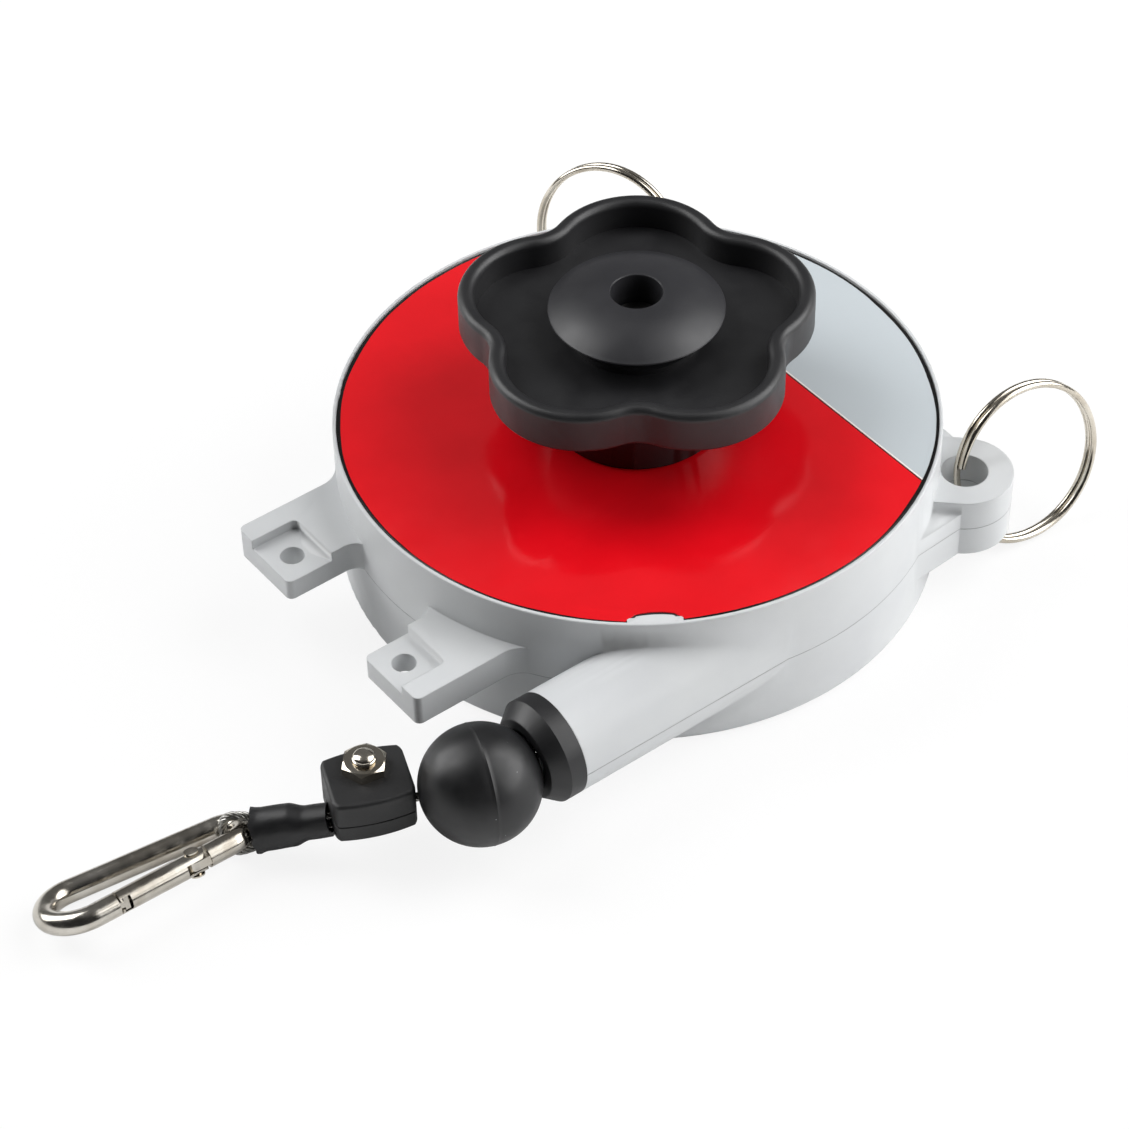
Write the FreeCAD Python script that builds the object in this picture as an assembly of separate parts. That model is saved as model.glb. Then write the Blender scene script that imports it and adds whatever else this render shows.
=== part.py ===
import FreeCAD, Part
import math
import os

# Tool balancer with a cord drum, in millimetres.
# Origin: axis of the round housing on its rear face. +Z runs up the drum axis to the knob,
# the cable leaves along -X, and the two hanger lugs are on the +X side.

V = FreeCAD.Vector
X_AXIS = V(1, 0, 0)
Y_AXIS = V(0, 1, 0)
Z_AXIS = V(0, 0, 1)
ORIGIN = V(0, 0, 0)

# ---- driving sizes: housing ----
HOUSING_R = 54.0
HOUSING_H = 28.6
SPLIT_Z = 14.0
WALL = 2.5
TOP_WALL = 2.1
BASE_ROUND = 1.6
RIM_ROUND = 0.25
PLATE_RIM = 1.0
PLATE_T = 0.8
PLATE_DROP = 0.3
PLATE_GAP = 0.35
NOTCH_ANGLE = -125.0
NOTCH_W = 9.4
NOTCH_D = 1.5
LIP_T = 0.9
LIP_H = 1.2
LIP_GAP = 0.1

# ---- driving sizes: cable outlet ----
NECK_R = 9.4
NECK_SETBACK = 1.5
NECK_INSET = 0.8
NECK_BORE_R = 6.9
BUSH_BAND = 3.1
BUSH_BEVEL = 2.7
BUSH_FACE_R = 7.3
BUSH_MOUTH_R = 5.6
BUSH_MOUTH_D = 6.0
BUSH_SPIGOT = 8.0
BUSH_BORE_R = 1.7
BUSH_GAP = 0.05

# ---- driving sizes: tool-side ears ----
EAR_IN_Y = 11.3
EAR_OUT_Y = 26.7
EAR_REACH = 13.8
EAR_TOP_Z = 20.0
EAR_FLOOR_Z = 18.1
EAR_STEP_REACH = 4.6
EAR_STEP_Y = 22.4
EAR_HOLE_REACH = 9.3
EAR_HOLE_Y = 16.7
EAR_HOLE_R = 2.15
EAR_CORNER_R = 1.2
EAR_ROOT_R = 3.0
EAR_FLARE_R = 5.0

# ---- driving sizes: hanger lugs ----
LUG_ANGLE = 45.0
LUG_HOLE_OUT = 4.3
LUG_HOLE_R = 4.2
LUG_END_R = 8.7
LUG_LOW_Z = 8.0
LUG_STEP_Z = 17.5
LUG_TOP_Z = 20.0
LUG_FLARE = 25.0

# ---- driving sizes: housing screws and bosses ----
SCREW_ANGLES = (-60.0, 0.0, 60.0, 120.0, 180.0)
SCREW_INSET = 4.2
BOSS_R = 2.9
SCREW_R = 1.5
SCREW_HEAD_R = 2.5
SCREW_HEAD_H = 2.0
SCREW_LEN = 18.0
SCREW_SINK = 0.4
SCREW_GAP = 0.2
SOCKET_AF = 2.0

# ---- driving sizes: arbor, bushes and drum ----
ARBOR_R = 6.0
ARBOR_BARREL_R = 8.3
ARBOR_HEX_AF = 10.2
ARBOR_FOOT_GAP = 0.35
RUN_GAP = 0.04
BUSH_T = 2.0
SIDE_GAP = 0.4
REAR_BOSS_H = 4.4
BOSS_WALL = 2.6
CABLE_D = 1.6
CABLE_LAYERS = 2
CABLE_TURNS_WIDE = 3
CABLE_PACK_GAP = 0.12
DRUM_WALL = 2.4
FLANGE_T = 1.5
FLANGE_RISE = 1.4
DRUM_WEB_T = 1.6
DRUM_COVER_T = 1.3
COVER_SEAT = 1.4
SPRING_T = 0.7
SPRING_TURNS = 8
SPRING_EDGE_GAP = 0.7
WINDOW_R = 5.5
WINDOW_COUNT = 6
CHAMBER_GAP = 0.35
NIPPLE_R = 1.9

# ---- driving sizes: index ring and knob ----
INDEX_BASE_T = 1.2
TOOTH_COUNT = 12
TOOTH_H = 2.2
TOOTH_GAP = 0.4
TOOTH_OVERLAP = 1.9
TOOTH_IN_R = 11.6
TOOTH_OUT_R = 14.7
WELL_R = 15.2
WELL_DEPTH = 4.6
WELL_FLOOR_T = 1.5
KNOB_LOBES = 5
KNOB_LOBE_R = 31.9
KNOB_VALLEY_R = 26.8
KNOB_HOLLOW_R = 6.75
KNOB_FIRST_LOBE = 52.0
KNOB_RIM_T = 2.9
KNOB_RISE = 24.0
KNOB_TRAY_D = 5.6
KNOB_FLOOR_T = 1.8
KNOB_SKIRT_H = 7.9
KNOB_HUB_R = 15.6
KNOB_HUB_GAP = 0.4
KNOB_TOP_ROUND = 1.3
KNOB_LOW_ROUND = 0.8
KNOB_WELL_R = 9.6
KNOB_WELL_D = 10.0
KNOB_BOSS_R = 11.6
KNOB_BOSS_H = 1.0
HEX_SLIDE_GAP = 0.12
HEX_TURN = 30.0

# ---- driving sizes: dome cap, its screw and spring ----
DOME_R = 15.4
DOME_EDGE_DROP = 0.1
DOME_RISE = 3.5
DOME_EDGE_T = 0.7
DOME_HOLE_R = 4.5
DOME_BOSS_R = 6.6
DOME_SEAT_DROP = 6.0
DOME_WEB_T = 1.6
CAP_SCREW_R = 2.5
CAP_SCREW_LEN = 12.0
CAP_HEAD_R = 4.1
CAP_HEAD_H = 2.2
CAP_SOCKET_AF = 3.0
KNOB_SPRING_R = 8.1
KNOB_SPRING_WIRE = 1.1
KNOB_SPRING_TURNS = 3
KNOB_SPRING_GAP = 0.3

# ---- driving sizes: cable end, stop ball, clamp and sleeve ----
BALL_R = 10.4
BALL_SEAT_GAP = 0.436
CLAMP_BALL_GAP = 0.8
CLAMP_L = 14.0
CLAMP_W = 11.0
CLAMP_BULGE = 0.9
CLAMP_UPPER_H = 4.9
CLAMP_LOWER_H = 3.6
CLAMP_ROUND = 2.4
CLAMP_EDGE = 0.7
CLAMP_SPLIT = 0.2
CLAMP_SHIFT = 2.4
CLAMP_YAW = 11.0
CLAMP_WALL = 1.5
CLAMP_SLEEVE_GAP = 0.38
SLEEVE_SOCKET_GAP = 0.15
BOLT_R = 2.0
BOLT_HEAD_AF = 7.0
BOLT_HEAD_H = 2.2
BOLT_HEAD_SINK = 2.4
NUT_AF = 7.0
NUT_H = 1.9
STUD_RISE = 1.5
LEG_PITCH = 1.7
SLEEVE_L = 12.1
SLEEVE_END = 6.3
SLEEVE_R_FAR = 3.5
SLEEVE_R_NEAR = 2.9
SLEEVE_T = 0.7
FERRULE_L = 7.0
FERRULE_T = 0.5
FERRULE_INSET = 2.0
EYE_R = 3.2
EYE_THROAT = 7.3
PULL_YAW = 147.6
SLEEVE_BEND = 37.13

# ---- driving sizes: snap hook ----
HOOK_D = 4.0
HOOK_L = 40.0
HOOK_NARROW_R = 3.6
HOOK_WIDE_R = 5.9
HOOK_GAP = 0.3
HOOK_TILT = 23.0
HOOK_YAW = 4.5
GATE_PIVOT_U = 10.8
GATE_NOSE_U = 25.9
GATE_END_GAP = 0.35
TONGUE_T = 1.5
TONGUE_GAP = 0.15
NOSE_NECK_L = 1.0
NOSE_HEAD_L = 0.9
NOSE_NECK_T = 1.1
NOSE_HEAD_T = 2.2
NOSE_HALF_W = 1.3
NOSE_GAP = 0.32
RIVET_R = 0.8
RIVET_GAP = 0.05
RIVET_HEAD_R = 1.25
RIVET_HEAD_H = 0.25

# ---- driving sizes: split rings ----
RING_OD = 31.0
RING_WIRE = 1.25
RING_COIL_GAP = 0.1
RING_COILS = 2
RING_LEAN = 15.0
RING_Z = 15.2
RING_SEAT = 0.9
HANGER_YAW = -5.0
SAFETY_YAW = 113.0

# ---- places that follow from the sizes ----
FLOOR_Z = WALL
PLATE_TOP_Z = HOUSING_H - PLATE_DROP
PLATE_LOW_Z = PLATE_TOP_Z - PLATE_T
TOP_IN_Z = PLATE_LOW_Z - TOP_WALL
CHAMBER_R = HOUSING_R - WALL
PLATE_R = HOUSING_R - PLATE_RIM
NECK_END_X = -(HOUSING_R - NECK_SETBACK)
EAR_TIP_X = -(HOUSING_R + EAR_REACH)
EAR_STEP_X = -(HOUSING_R + EAR_STEP_REACH)
EAR_HOLE_X = -(HOUSING_R + EAR_HOLE_REACH)
LUG_HOLE_DIST = HOUSING_R + LUG_HOLE_OUT
SCREW_DIST = HOUSING_R - SCREW_INSET
CABLE_Y = -(HOUSING_R - NECK_R - NECK_INSET)
CABLE_Z = SPLIT_Z
CABLE_R = CABLE_D / 2
WOUND_OUT_R = abs(CABLE_Y) + CABLE_R
WOUND_IN_R = WOUND_OUT_R - CABLE_LAYERS * CABLE_D
WOUND_W = CABLE_TURNS_WIDE * (CABLE_D + CABLE_PACK_GAP)
DRUM_GROOVE_R = WOUND_IN_R
DRUM_IN_R = DRUM_GROOVE_R - DRUM_WALL
DRUM_OUT_R = WOUND_OUT_R + FLANGE_RISE
GROOVE_LOW_Z = CABLE_Z - WOUND_W / 2
GROOVE_TOP_Z = CABLE_Z + WOUND_W / 2
BUSH_OUT_R = ARBOR_R + BUSH_T
REAR_BOSS_TOP_Z = FLOOR_Z + REAR_BOSS_H
DRUM_LOW_Z = REAR_BOSS_TOP_Z + SIDE_GAP
WEB_TOP_Z = DRUM_LOW_Z + DRUM_WEB_T
WELL_TOP_Z = PLATE_TOP_Z - WELL_DEPTH
WELL_LOW_Z = WELL_TOP_Z - WELL_FLOOR_T
COVER_TOP_Z = WELL_LOW_Z - SIDE_GAP
COVER_LOW_Z = COVER_TOP_Z - DRUM_COVER_T
TOOTH_ROOT_Z = WELL_TOP_Z + INDEX_BASE_T
TOOTH_TOP_Z = TOOTH_ROOT_Z + TOOTH_H
KNOB_HUB_Z = PLATE_TOP_Z + KNOB_HUB_GAP
KNOB_TOOTH_Z = TOOTH_TOP_Z - TOOTH_OVERLAP
KNOB_TOP_Z = PLATE_TOP_Z + KNOB_RISE
KNOB_FLOOR_Z = KNOB_TOP_Z - KNOB_TRAY_D
KNOB_WELL_Z = KNOB_FLOOR_Z - KNOB_WELL_D
KNOB_SKIRT_Z = KNOB_TOP_Z - KNOB_SKIRT_H
DOME_EDGE_Z = KNOB_TOP_Z - DOME_EDGE_DROP
DOME_SEAT_Z = DOME_EDGE_Z - DOME_SEAT_DROP
DOME_LOW_Z = DOME_EDGE_Z + DOME_EDGE_T / 2
DOME_TOP_Z = DOME_EDGE_Z + DOME_RISE
CAP_FLOOR_Z = DOME_SEAT_Z + DOME_WEB_T
BUSH_FACE_X = NECK_END_X - BUSH_BAND - BUSH_BEVEL
BALL_X = BUSH_FACE_X - math.sqrt(BALL_R**2 - BUSH_MOUTH_R**2) - BALL_SEAT_GAP
BALL_P = V(BALL_X, CABLE_Y, CABLE_Z)
CLAMP_REACH = BALL_R + CLAMP_BALL_GAP + CLAMP_L / 2
SIGN_LUG = (-1.0, 1.0)


def polar(radius, degrees, z=0.0):
    """A point at a radius and an angle about the drum axis."""
    a = math.radians(degrees)
    return V(radius * math.cos(a), radius * math.sin(a), z)


def segment(start, end):
    """A straight edge between two points."""
    return Part.LineSegment(start, end).toShape()


def arc(start, through, end):
    """A round edge through three points."""
    return Part.Arc(start, through, end).toShape()


def cyl(radius, low, high, x=0.0, y=0.0):
    """An upright cylinder between two heights."""
    return Part.makeCylinder(radius, high - low, V(x, y, low), Z_AXIS)


def tube(outer, inner, low, high, x=0.0, y=0.0):
    """An upright tube between two heights."""
    return cyl(outer, low, high, x, y).cut(cyl(inner, low - 1, high + 1, x, y))


def rod(radius, start, end):
    """A cylinder between two points."""
    return Part.makeCylinder(radius, (end - start).Length, start, end - start)


def box(x0, x1, y0, y1, z0, z1):
    """A box between its low and high corners."""
    return Part.makeBox(x1 - x0, y1 - y0, z1 - z0, V(x0, y0, z0))


def fuse_all(shapes):
    """One solid from several that touch."""
    first, rest = shapes[0], list(shapes[1:])
    return first.multiFuse(rest).removeSplitter() if rest else first


def rounded_outline(points, radii):
    """A closed wire through flat corner points, each corner rounded to its radius."""
    edges, ends = [], []
    count = len(points)
    for i, corner in enumerate(points):
        back = (points[i - 1] - corner).normalize()
        on = (points[(i + 1) % count] - corner).normalize()
        if radii[i] <= 0:
            ends.append((corner, corner))
            continue
        half = back.getAngle(on) / 2
        reach = radii[i] / math.tan(half)
        middle = corner + (back + on).normalize() * (radii[i] / math.sin(half) - radii[i])
        a, b = corner + back * reach, corner + on * reach
        ends.append((a, b))
        edges.append((i, arc(a, middle, b)))
    arcs = dict(edges)
    chain = []
    for i in range(count):
        if i in arcs:
            chain.append(arcs[i])
        a, b = ends[i][1], ends[(i + 1) % count][0]
        if (b - a).Length > 1e-6:
            chain.append(segment(a, b))
    return Part.Wire(chain)


def prism(wire, height, direction=Z_AXIS):
    """A wire's face pushed along a direction."""
    return Part.Face(wire).extrude(direction * height)


def lathe(outline):
    """A (radius, z) outline turned about the drum axis; a third value rounds that corner."""
    points = [V(p[0], 0, p[1]) for p in outline]
    radii = [p[2] if len(p) > 2 else 0.0 for p in outline]
    return Part.Face(rounded_outline(points, radii)).revolve(ORIGIN, Z_AXIS, 360)


def lathe_about(outline, base, direction):
    """A lathe outline turned about the drum axis, then laid along another axis."""
    solid = lathe(outline)
    turn = FreeCAD.Rotation(Z_AXIS, direction)
    solid.Placement = FreeCAD.Placement(base, turn)
    return solid


def hexagon(flats, low, high, turn=0.0):
    """An upright hexagonal prism."""
    corner = flats / math.sqrt(3)
    points = [polar(corner, turn + 60 * i, low) for i in range(6)]
    return prism(Part.makePolygon(points + points[:1]), high - low)


def placed(solid, base, x_dir, z_dir):
    """A solid moved from the drum frame to a base with the given X and Z directions."""
    y_dir = z_dir.cross(x_dir)
    m = FreeCAD.Matrix(x_dir.x, y_dir.x, z_dir.x, base.x, x_dir.y, y_dir.y, z_dir.y, base.y,
                       x_dir.z, y_dir.z, z_dir.z, base.z, 0, 0, 0, 1)
    moved = solid.copy()
    moved.Placement = FreeCAD.Placement(m).multiply(solid.Placement)
    return moved


def coil(radius, pitch, turns, wire_r, low):
    """A coil of round wire about the drum axis, as half turns of a torus that meet in line."""
    rise = pitch / 4
    reach = math.hypot(radius, rise)
    tilt = math.degrees(math.atan2(rise, radius))
    pieces = []
    for i in range(2 * turns):
        half = Part.makeTorus(reach, wire_r, ORIGIN, Z_AXIS, 0, 360, 180)
        if i % 2:
            half.rotate(ORIGIN, Z_AXIS, 180)
        half.rotate(ORIGIN, Y_AXIS, -tilt if i % 2 else tilt)
        half.translate(V(0, 0, low + rise * (2 * i + 1)))
        pieces.append(half)
    return fuse_all(pieces)


def write(name, shape):
    """One sub-part's STEP file."""
    shape.exportStep("parts/" + name + ".step")
    print(name, len(shape.Solids), round(shape.Volume, 1), shape.isValid())


# ---------------------------------------------------------------- housing
def ear(side):
    """One slotted-in ear for a tool guide: a plate with a raised L-shaped border."""
    inner = EAR_IN_Y * side
    outer = EAR_OUT_Y * side
    root_x = -math.sqrt(HOUSING_R**2 - EAR_OUT_Y**2) + WALL
    mid_root_x = -math.sqrt(HOUSING_R**2 - EAR_IN_Y**2)
    corners = [V(EAR_TIP_X, inner, SPLIT_Z), V(EAR_TIP_X, outer, SPLIT_Z),
               V(root_x, outer, SPLIT_Z), V(root_x, inner, SPLIT_Z)]
    plate = prism(rounded_outline(corners, [EAR_CORNER_R, EAR_CORNER_R, 0, 0]), EAR_TOP_Z - SPLIT_Z)
    fillet = EAR_ROOT_R
    web_in = inner - side * fillet
    web = [V(mid_root_x - fillet, inner, SPLIT_Z), V(mid_root_x + WALL, inner, SPLIT_Z),
           V(mid_root_x + WALL, web_in, SPLIT_Z), V(mid_root_x, web_in, SPLIT_Z)]
    bow = Part.Arc(web[3], V(mid_root_x - fillet * (1 - math.sqrt(0.5)),
                             inner - side * fillet * (1 - math.sqrt(0.5)), SPLIT_Z), web[0]).toShape()
    sides = [segment(web[i], web[i + 1]) for i in range(3)]
    root = prism(Part.Wire(sides + [bow]), EAR_TOP_Z - SPLIT_Z)
    whole = fuse_all([plate, root, ear_flare(side)])
    pocket_in = web_in - side
    pocket = [V(EAR_TIP_X - 1, pocket_in, EAR_FLOOR_Z), V(EAR_STEP_X, pocket_in, EAR_FLOOR_Z),
              V(EAR_STEP_X, EAR_STEP_Y * side, EAR_FLOOR_Z), V(EAR_TIP_X - 1, EAR_STEP_Y * side, EAR_FLOOR_Z)]
    recess = prism(rounded_outline(pocket, [0, 0, EAR_CORNER_R, 0]), EAR_TOP_Z - EAR_FLOOR_Z + 1)
    hole = cyl(EAR_HOLE_R, SPLIT_Z - 1, EAR_TOP_Z + 1, EAR_HOLE_X, EAR_HOLE_Y * side)
    return whole.cut(recess).cut(hole)


def ear_flare(side):
    """The hollow flare where an ear's outer side runs into the round wall."""
    middle_y = EAR_OUT_Y + EAR_FLARE_R
    middle_x = -math.sqrt((HOUSING_R + EAR_FLARE_R) ** 2 - middle_y**2)
    on_wall = V(middle_x, side * middle_y, 0) * (HOUSING_R / (HOUSING_R + EAR_FLARE_R))
    in_wall = on_wall * ((HOUSING_R - WALL / 2) / HOUSING_R)
    on_side = V(middle_x, side * EAR_OUT_Y, 0)
    in_side = V(-math.sqrt(HOUSING_R**2 - EAR_OUT_Y**2) + WALL / 2, side * EAR_OUT_Y, 0)
    block = prism(Part.makePolygon([on_side, on_wall, in_wall, in_side, on_side]), EAR_TOP_Z - SPLIT_Z)
    block.translate(V(0, 0, SPLIT_Z))
    return block.cut(cyl(EAR_FLARE_R, SPLIT_Z - 1, EAR_TOP_Z + 1, middle_x, side * middle_y))


def lug(side):
    """One hanger lug: a round-ended tongue on a flared web, with a hole for a split ring."""
    angle = LUG_ANGLE * side
    centre = polar(LUG_HOLE_DIST, angle)
    out = polar(1, angle)
    across = polar(1, angle + 90)
    root = HOUSING_R - WALL
    web_low = [centre + across * s * LUG_END_R + V(0, 0, LUG_LOW_Z) for s in (-1, 1)]
    wall = [polar(root, angle + s * LUG_FLARE, LUG_LOW_Z) for s in (-1, 1)]
    tip = centre + out * LUG_END_R + V(0, 0, LUG_LOW_Z)
    web_edges = [segment(wall[0], web_low[0]), arc(web_low[0], tip, web_low[1]),
                 segment(web_low[1], wall[1]), segment(wall[1], wall[0])]
    web = prism(Part.Wire(web_edges), LUG_STEP_Z - LUG_LOW_Z)
    lift = V(0, 0, LUG_STEP_Z - LUG_LOW_Z)
    inner = [p - out * (LUG_HOLE_DIST - root + WALL) for p in web_low]
    top_edges = [segment(inner[0] + lift, web_low[0] + lift),
                 arc(web_low[0] + lift, tip + lift, web_low[1] + lift),
                 segment(web_low[1] + lift, inner[1] + lift),
                 segment(inner[1] + lift, inner[0] + lift)]
    tongue = prism(Part.Wire(top_edges), LUG_TOP_Z - LUG_STEP_Z)
    return fuse_all([web, tongue])


def lug_hole(side):
    """The hole through a hanger lug."""
    centre = polar(LUG_HOLE_DIST, LUG_ANGLE * side)
    return cyl(LUG_HOLE_R, LUG_LOW_Z - 1, LUG_TOP_Z + 1, centre.x, centre.y)


def housing_outside():
    """The closed outer form of both halves together."""
    drum_case = lathe([(0, 0), (HOUSING_R, 0, BASE_ROUND), (HOUSING_R, HOUSING_H, RIM_ROUND), (0, HOUSING_H)])
    neck = Part.makeCylinder(NECK_R, -NECK_END_X, V(NECK_END_X, CABLE_Y, CABLE_Z), X_AXIS)
    return fuse_all([drum_case, neck, lug(-1), lug(1)])


def housing_inside():
    """The hollow of the case: drum chamber and cable outlet bore."""
    chamber = cyl(CHAMBER_R, FLOOR_Z, TOP_IN_Z)
    bore = Part.makeCylinder(NECK_BORE_R, -NECK_END_X + 1, V(NECK_END_X - 1, CABLE_Y, CABLE_Z), X_AXIS)
    return fuse_all([chamber, bore])


def screw_bosses(low, high):
    """The bosses for the housing screws between two heights."""
    return [cyl(BOSS_R, low, high, polar(SCREW_DIST, a).x, polar(SCREW_DIST, a).y) for a in SCREW_ANGLES]


def screw_holes(radius, low, high):
    """Round cuts on the housing screw axes."""
    holes = [cyl(radius, low, high, polar(SCREW_DIST, a).x, polar(SCREW_DIST, a).y) for a in SCREW_ANGLES]
    return Part.makeCompound(holes)


def lip_ring(grow):
    """The locating lip round the split, grown by a clearance for its rebate."""
    return tube(CHAMBER_R + LIP_T + grow, CHAMBER_R - 1, SPLIT_Z - LIP_H - grow, SPLIT_Z)


def rear_housing():
    """The rear half: floor, wall, arbor boss, screw bosses and lip rebate."""
    half = housing_outside().cut(housing_inside())
    half = half.common(box(-2 * HOUSING_R, 2 * HOUSING_R, -2 * HOUSING_R, 2 * HOUSING_R, -1, SPLIT_Z))
    boss = cyl(BUSH_OUT_R + BOSS_WALL, FLOOR_Z - WALL / 2, REAR_BOSS_TOP_Z)
    half = fuse_all([half, boss] + screw_bosses(FLOOR_Z - WALL / 2, SPLIT_Z))
    half = half.cut(cyl(BUSH_OUT_R, FLOOR_Z, SPLIT_Z))
    half = half.cut(screw_holes(SCREW_R + SCREW_GAP, -1, SPLIT_Z + 1))
    half = half.cut(screw_holes(SCREW_HEAD_R + SCREW_GAP, -1, SCREW_SINK + SCREW_HEAD_H))
    half = half.cut(lip_ring(LIP_GAP))
    for side in SIGN_LUG:
        half = half.cut(lug_hole(side))
    return half


def front_housing():
    """The front half: wall, top with plate recess and index well, ears, lug tops and lip."""
    half = housing_outside().cut(housing_inside())
    reach = 2 * HOUSING_R
    half = half.common(box(-reach, reach, -reach, reach, SPLIT_Z, HOUSING_H + 1))
    outer_ears = [ear(side) for side in SIGN_LUG]
    well = cyl(WELL_R + WALL, WELL_LOW_Z, TOP_IN_Z + TOP_WALL / 2)
    half = fuse_all([half, well] + outer_ears + screw_bosses(SPLIT_Z, TOP_IN_Z + TOP_WALL / 2))
    lip = tube(CHAMBER_R + LIP_T, CHAMBER_R, SPLIT_Z - LIP_H, SPLIT_Z + WALL)
    lip = lip.cut(Part.makeCylinder(NECK_R, -NECK_END_X, V(NECK_END_X, CABLE_Y, CABLE_Z), X_AXIS))
    lip = lip.cut(screw_holes(BOSS_R + LIP_GAP, SPLIT_Z - LIP_H - 1, SPLIT_Z))
    half = fuse_all([half, lip])
    half = half.cut(cyl(CHAMBER_R, SPLIT_Z, TOP_IN_Z).cut(Part.makeCompound(
        [cyl(WELL_R + WALL, WELL_LOW_Z, TOP_IN_Z)] + screw_bosses(SPLIT_Z, TOP_IN_Z))))
    recess = cyl(PLATE_R + PLATE_GAP, PLATE_LOW_Z, HOUSING_H + 1)
    recess = recess.cut(notch_block(0.0))
    half = half.cut(recess)
    half = half.cut(cyl(WELL_R, WELL_TOP_Z, HOUSING_H))
    half = half.cut(cyl(BUSH_OUT_R, WELL_LOW_Z - 1, WELL_TOP_Z + 1))
    half = half.cut(screw_holes(SCREW_R, SPLIT_Z - 1, SCREW_SINK + SCREW_HEAD_H + SCREW_LEN + 1))
    for side in SIGN_LUG:
        half = half.cut(lug_hole(side))
    return half


def notch_block(gap):
    """The small key on the rim that stops the face plate turning."""
    radius = PLATE_R + PLATE_GAP
    block = box(radius - NOTCH_D - gap, radius + 1, -NOTCH_W / 2 - gap, NOTCH_W / 2 + gap,
                PLATE_LOW_Z - 1, PLATE_TOP_Z)
    block.rotate(ORIGIN, Z_AXIS, NOTCH_ANGLE)
    return block


def face_plate():
    """The thin printed disc that covers the front, with its key notch."""
    disc = tube(PLATE_R, WELL_R, PLATE_LOW_Z, PLATE_TOP_Z)
    return disc.cut(notch_block(PLATE_GAP))


def housing_screws():
    """Socket-head screws that hold the halves together from the rear."""
    head_top = SCREW_SINK + SCREW_HEAD_H
    screws = []
    for angle in SCREW_ANGLES:
        at = polar(SCREW_DIST, angle)
        head = cyl(SCREW_HEAD_R, SCREW_SINK, head_top)
        shank = cyl(SCREW_R - RUN_GAP, head_top, head_top + SCREW_LEN)
        socket = hexagon(SOCKET_AF, SCREW_SINK - 1, SCREW_SINK + SCREW_HEAD_H / 2)
        screw = fuse_all([head, shank]).cut(socket)
        screw.translate(at)
        screws.append(screw)
    return Part.makeCompound(screws)


def outlet_bush():
    """The funnel-mouthed bush that guides the cable out of the neck."""
    spigot_r = NECK_BORE_R - BUSH_GAP
    length = BUSH_SPIGOT + BUSH_BAND + BUSH_BEVEL
    outline = [(BUSH_BORE_R + 1.0, 0), (spigot_r, 0, 0.4), (spigot_r, BUSH_SPIGOT), (NECK_R, BUSH_SPIGOT),
               (NECK_R, BUSH_SPIGOT + BUSH_BAND), (BUSH_FACE_R, length, 0.4), (BUSH_MOUTH_R, length),
               (BUSH_BORE_R, length - BUSH_MOUTH_D), (BUSH_BORE_R, 1.0)]
    base = V(NECK_END_X + BUSH_SPIGOT, CABLE_Y, CABLE_Z)
    return lathe_about(outline, base, V(-1, 0, 0))


def sleeve_bush(low, high):
    """A plain bearing bush on the arbor between two heights."""
    return tube(BUSH_OUT_R, ARBOR_R + RUN_GAP, low, high)


def index_ring():
    """The toothed ring fixed in the front well that locks the knob."""
    base = tube(WELL_R - BUSH_GAP, BUSH_OUT_R + 1.0, WELL_TOP_Z, TOOTH_ROOT_Z)
    teeth = tooth_ring(TOOTH_ROOT_Z - INDEX_BASE_T / 2, TOOTH_TOP_Z, 0.0)
    return fuse_all([base] + teeth)


def tooth_ring(low, high, turn):
    """Evenly spaced sector teeth, each half a pitch wide less its clearance."""
    pitch = 360.0 / TOOTH_COUNT
    gap_angle = math.degrees(TOOTH_GAP / TOOTH_OUT_R)
    wide = pitch / 2 - gap_angle
    teeth = []
    for i in range(TOOTH_COUNT):
        start = turn + i * pitch - wide / 2
        flat = [polar(TOOTH_IN_R, start, low), polar(TOOTH_OUT_R, start, low),
                polar(TOOTH_OUT_R, start + wide, low), polar(TOOTH_IN_R, start + wide, low)]
        mid_out = polar(TOOTH_OUT_R, start + wide / 2, low)
        mid_in = polar(TOOTH_IN_R, start + wide / 2, low)
        edges = [segment(flat[0], flat[1]), arc(flat[1], mid_out, flat[2]),
                 segment(flat[2], flat[3]), arc(flat[3], mid_in, flat[0])]
        teeth.append(prism(Part.Wire(edges), high - low))
    return teeth


# ---------------------------------------------------------------- drum and arbor
def drum():
    """The cable drum: grooved rim with two flanges round the spring chamber."""
    rim = lathe([(DRUM_IN_R, DRUM_LOW_Z), (DRUM_GROOVE_R, DRUM_LOW_Z),
                 (DRUM_GROOVE_R, GROOVE_LOW_Z - FLANGE_T), (DRUM_OUT_R, GROOVE_LOW_Z - FLANGE_T),
                 (DRUM_OUT_R, GROOVE_LOW_Z), (DRUM_GROOVE_R, GROOVE_LOW_Z),
                 (DRUM_GROOVE_R, GROOVE_TOP_Z), (DRUM_OUT_R, GROOVE_TOP_Z),
                 (DRUM_OUT_R, GROOVE_TOP_Z + FLANGE_T), (DRUM_GROOVE_R, GROOVE_TOP_Z + FLANGE_T),
                 (DRUM_GROOVE_R, COVER_TOP_Z), (DRUM_IN_R + COVER_SEAT, COVER_TOP_Z),
                 (DRUM_IN_R + COVER_SEAT, COVER_LOW_Z), (DRUM_IN_R, COVER_LOW_Z)])
    web = tube(DRUM_IN_R + DRUM_WALL / 2, BUSH_OUT_R, DRUM_LOW_Z, WEB_TOP_Z)
    windows = Part.makeCompound(window_cuts(DRUM_LOW_Z - 1, WEB_TOP_Z + 1))
    body = fuse_all([rim, web]).cut(windows)
    return body.cut(nipple_pocket())


def window_cuts(low, high):
    """Lightening holes in the drum's web."""
    middle = (DRUM_IN_R + BUSH_OUT_R) / 2
    step = 360.0 / WINDOW_COUNT
    places = [polar(middle, step * (i + 0.5)) for i in range(WINDOW_COUNT)]
    return [cyl(WINDOW_R, low, high, p.x, p.y) for p in places]


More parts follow.
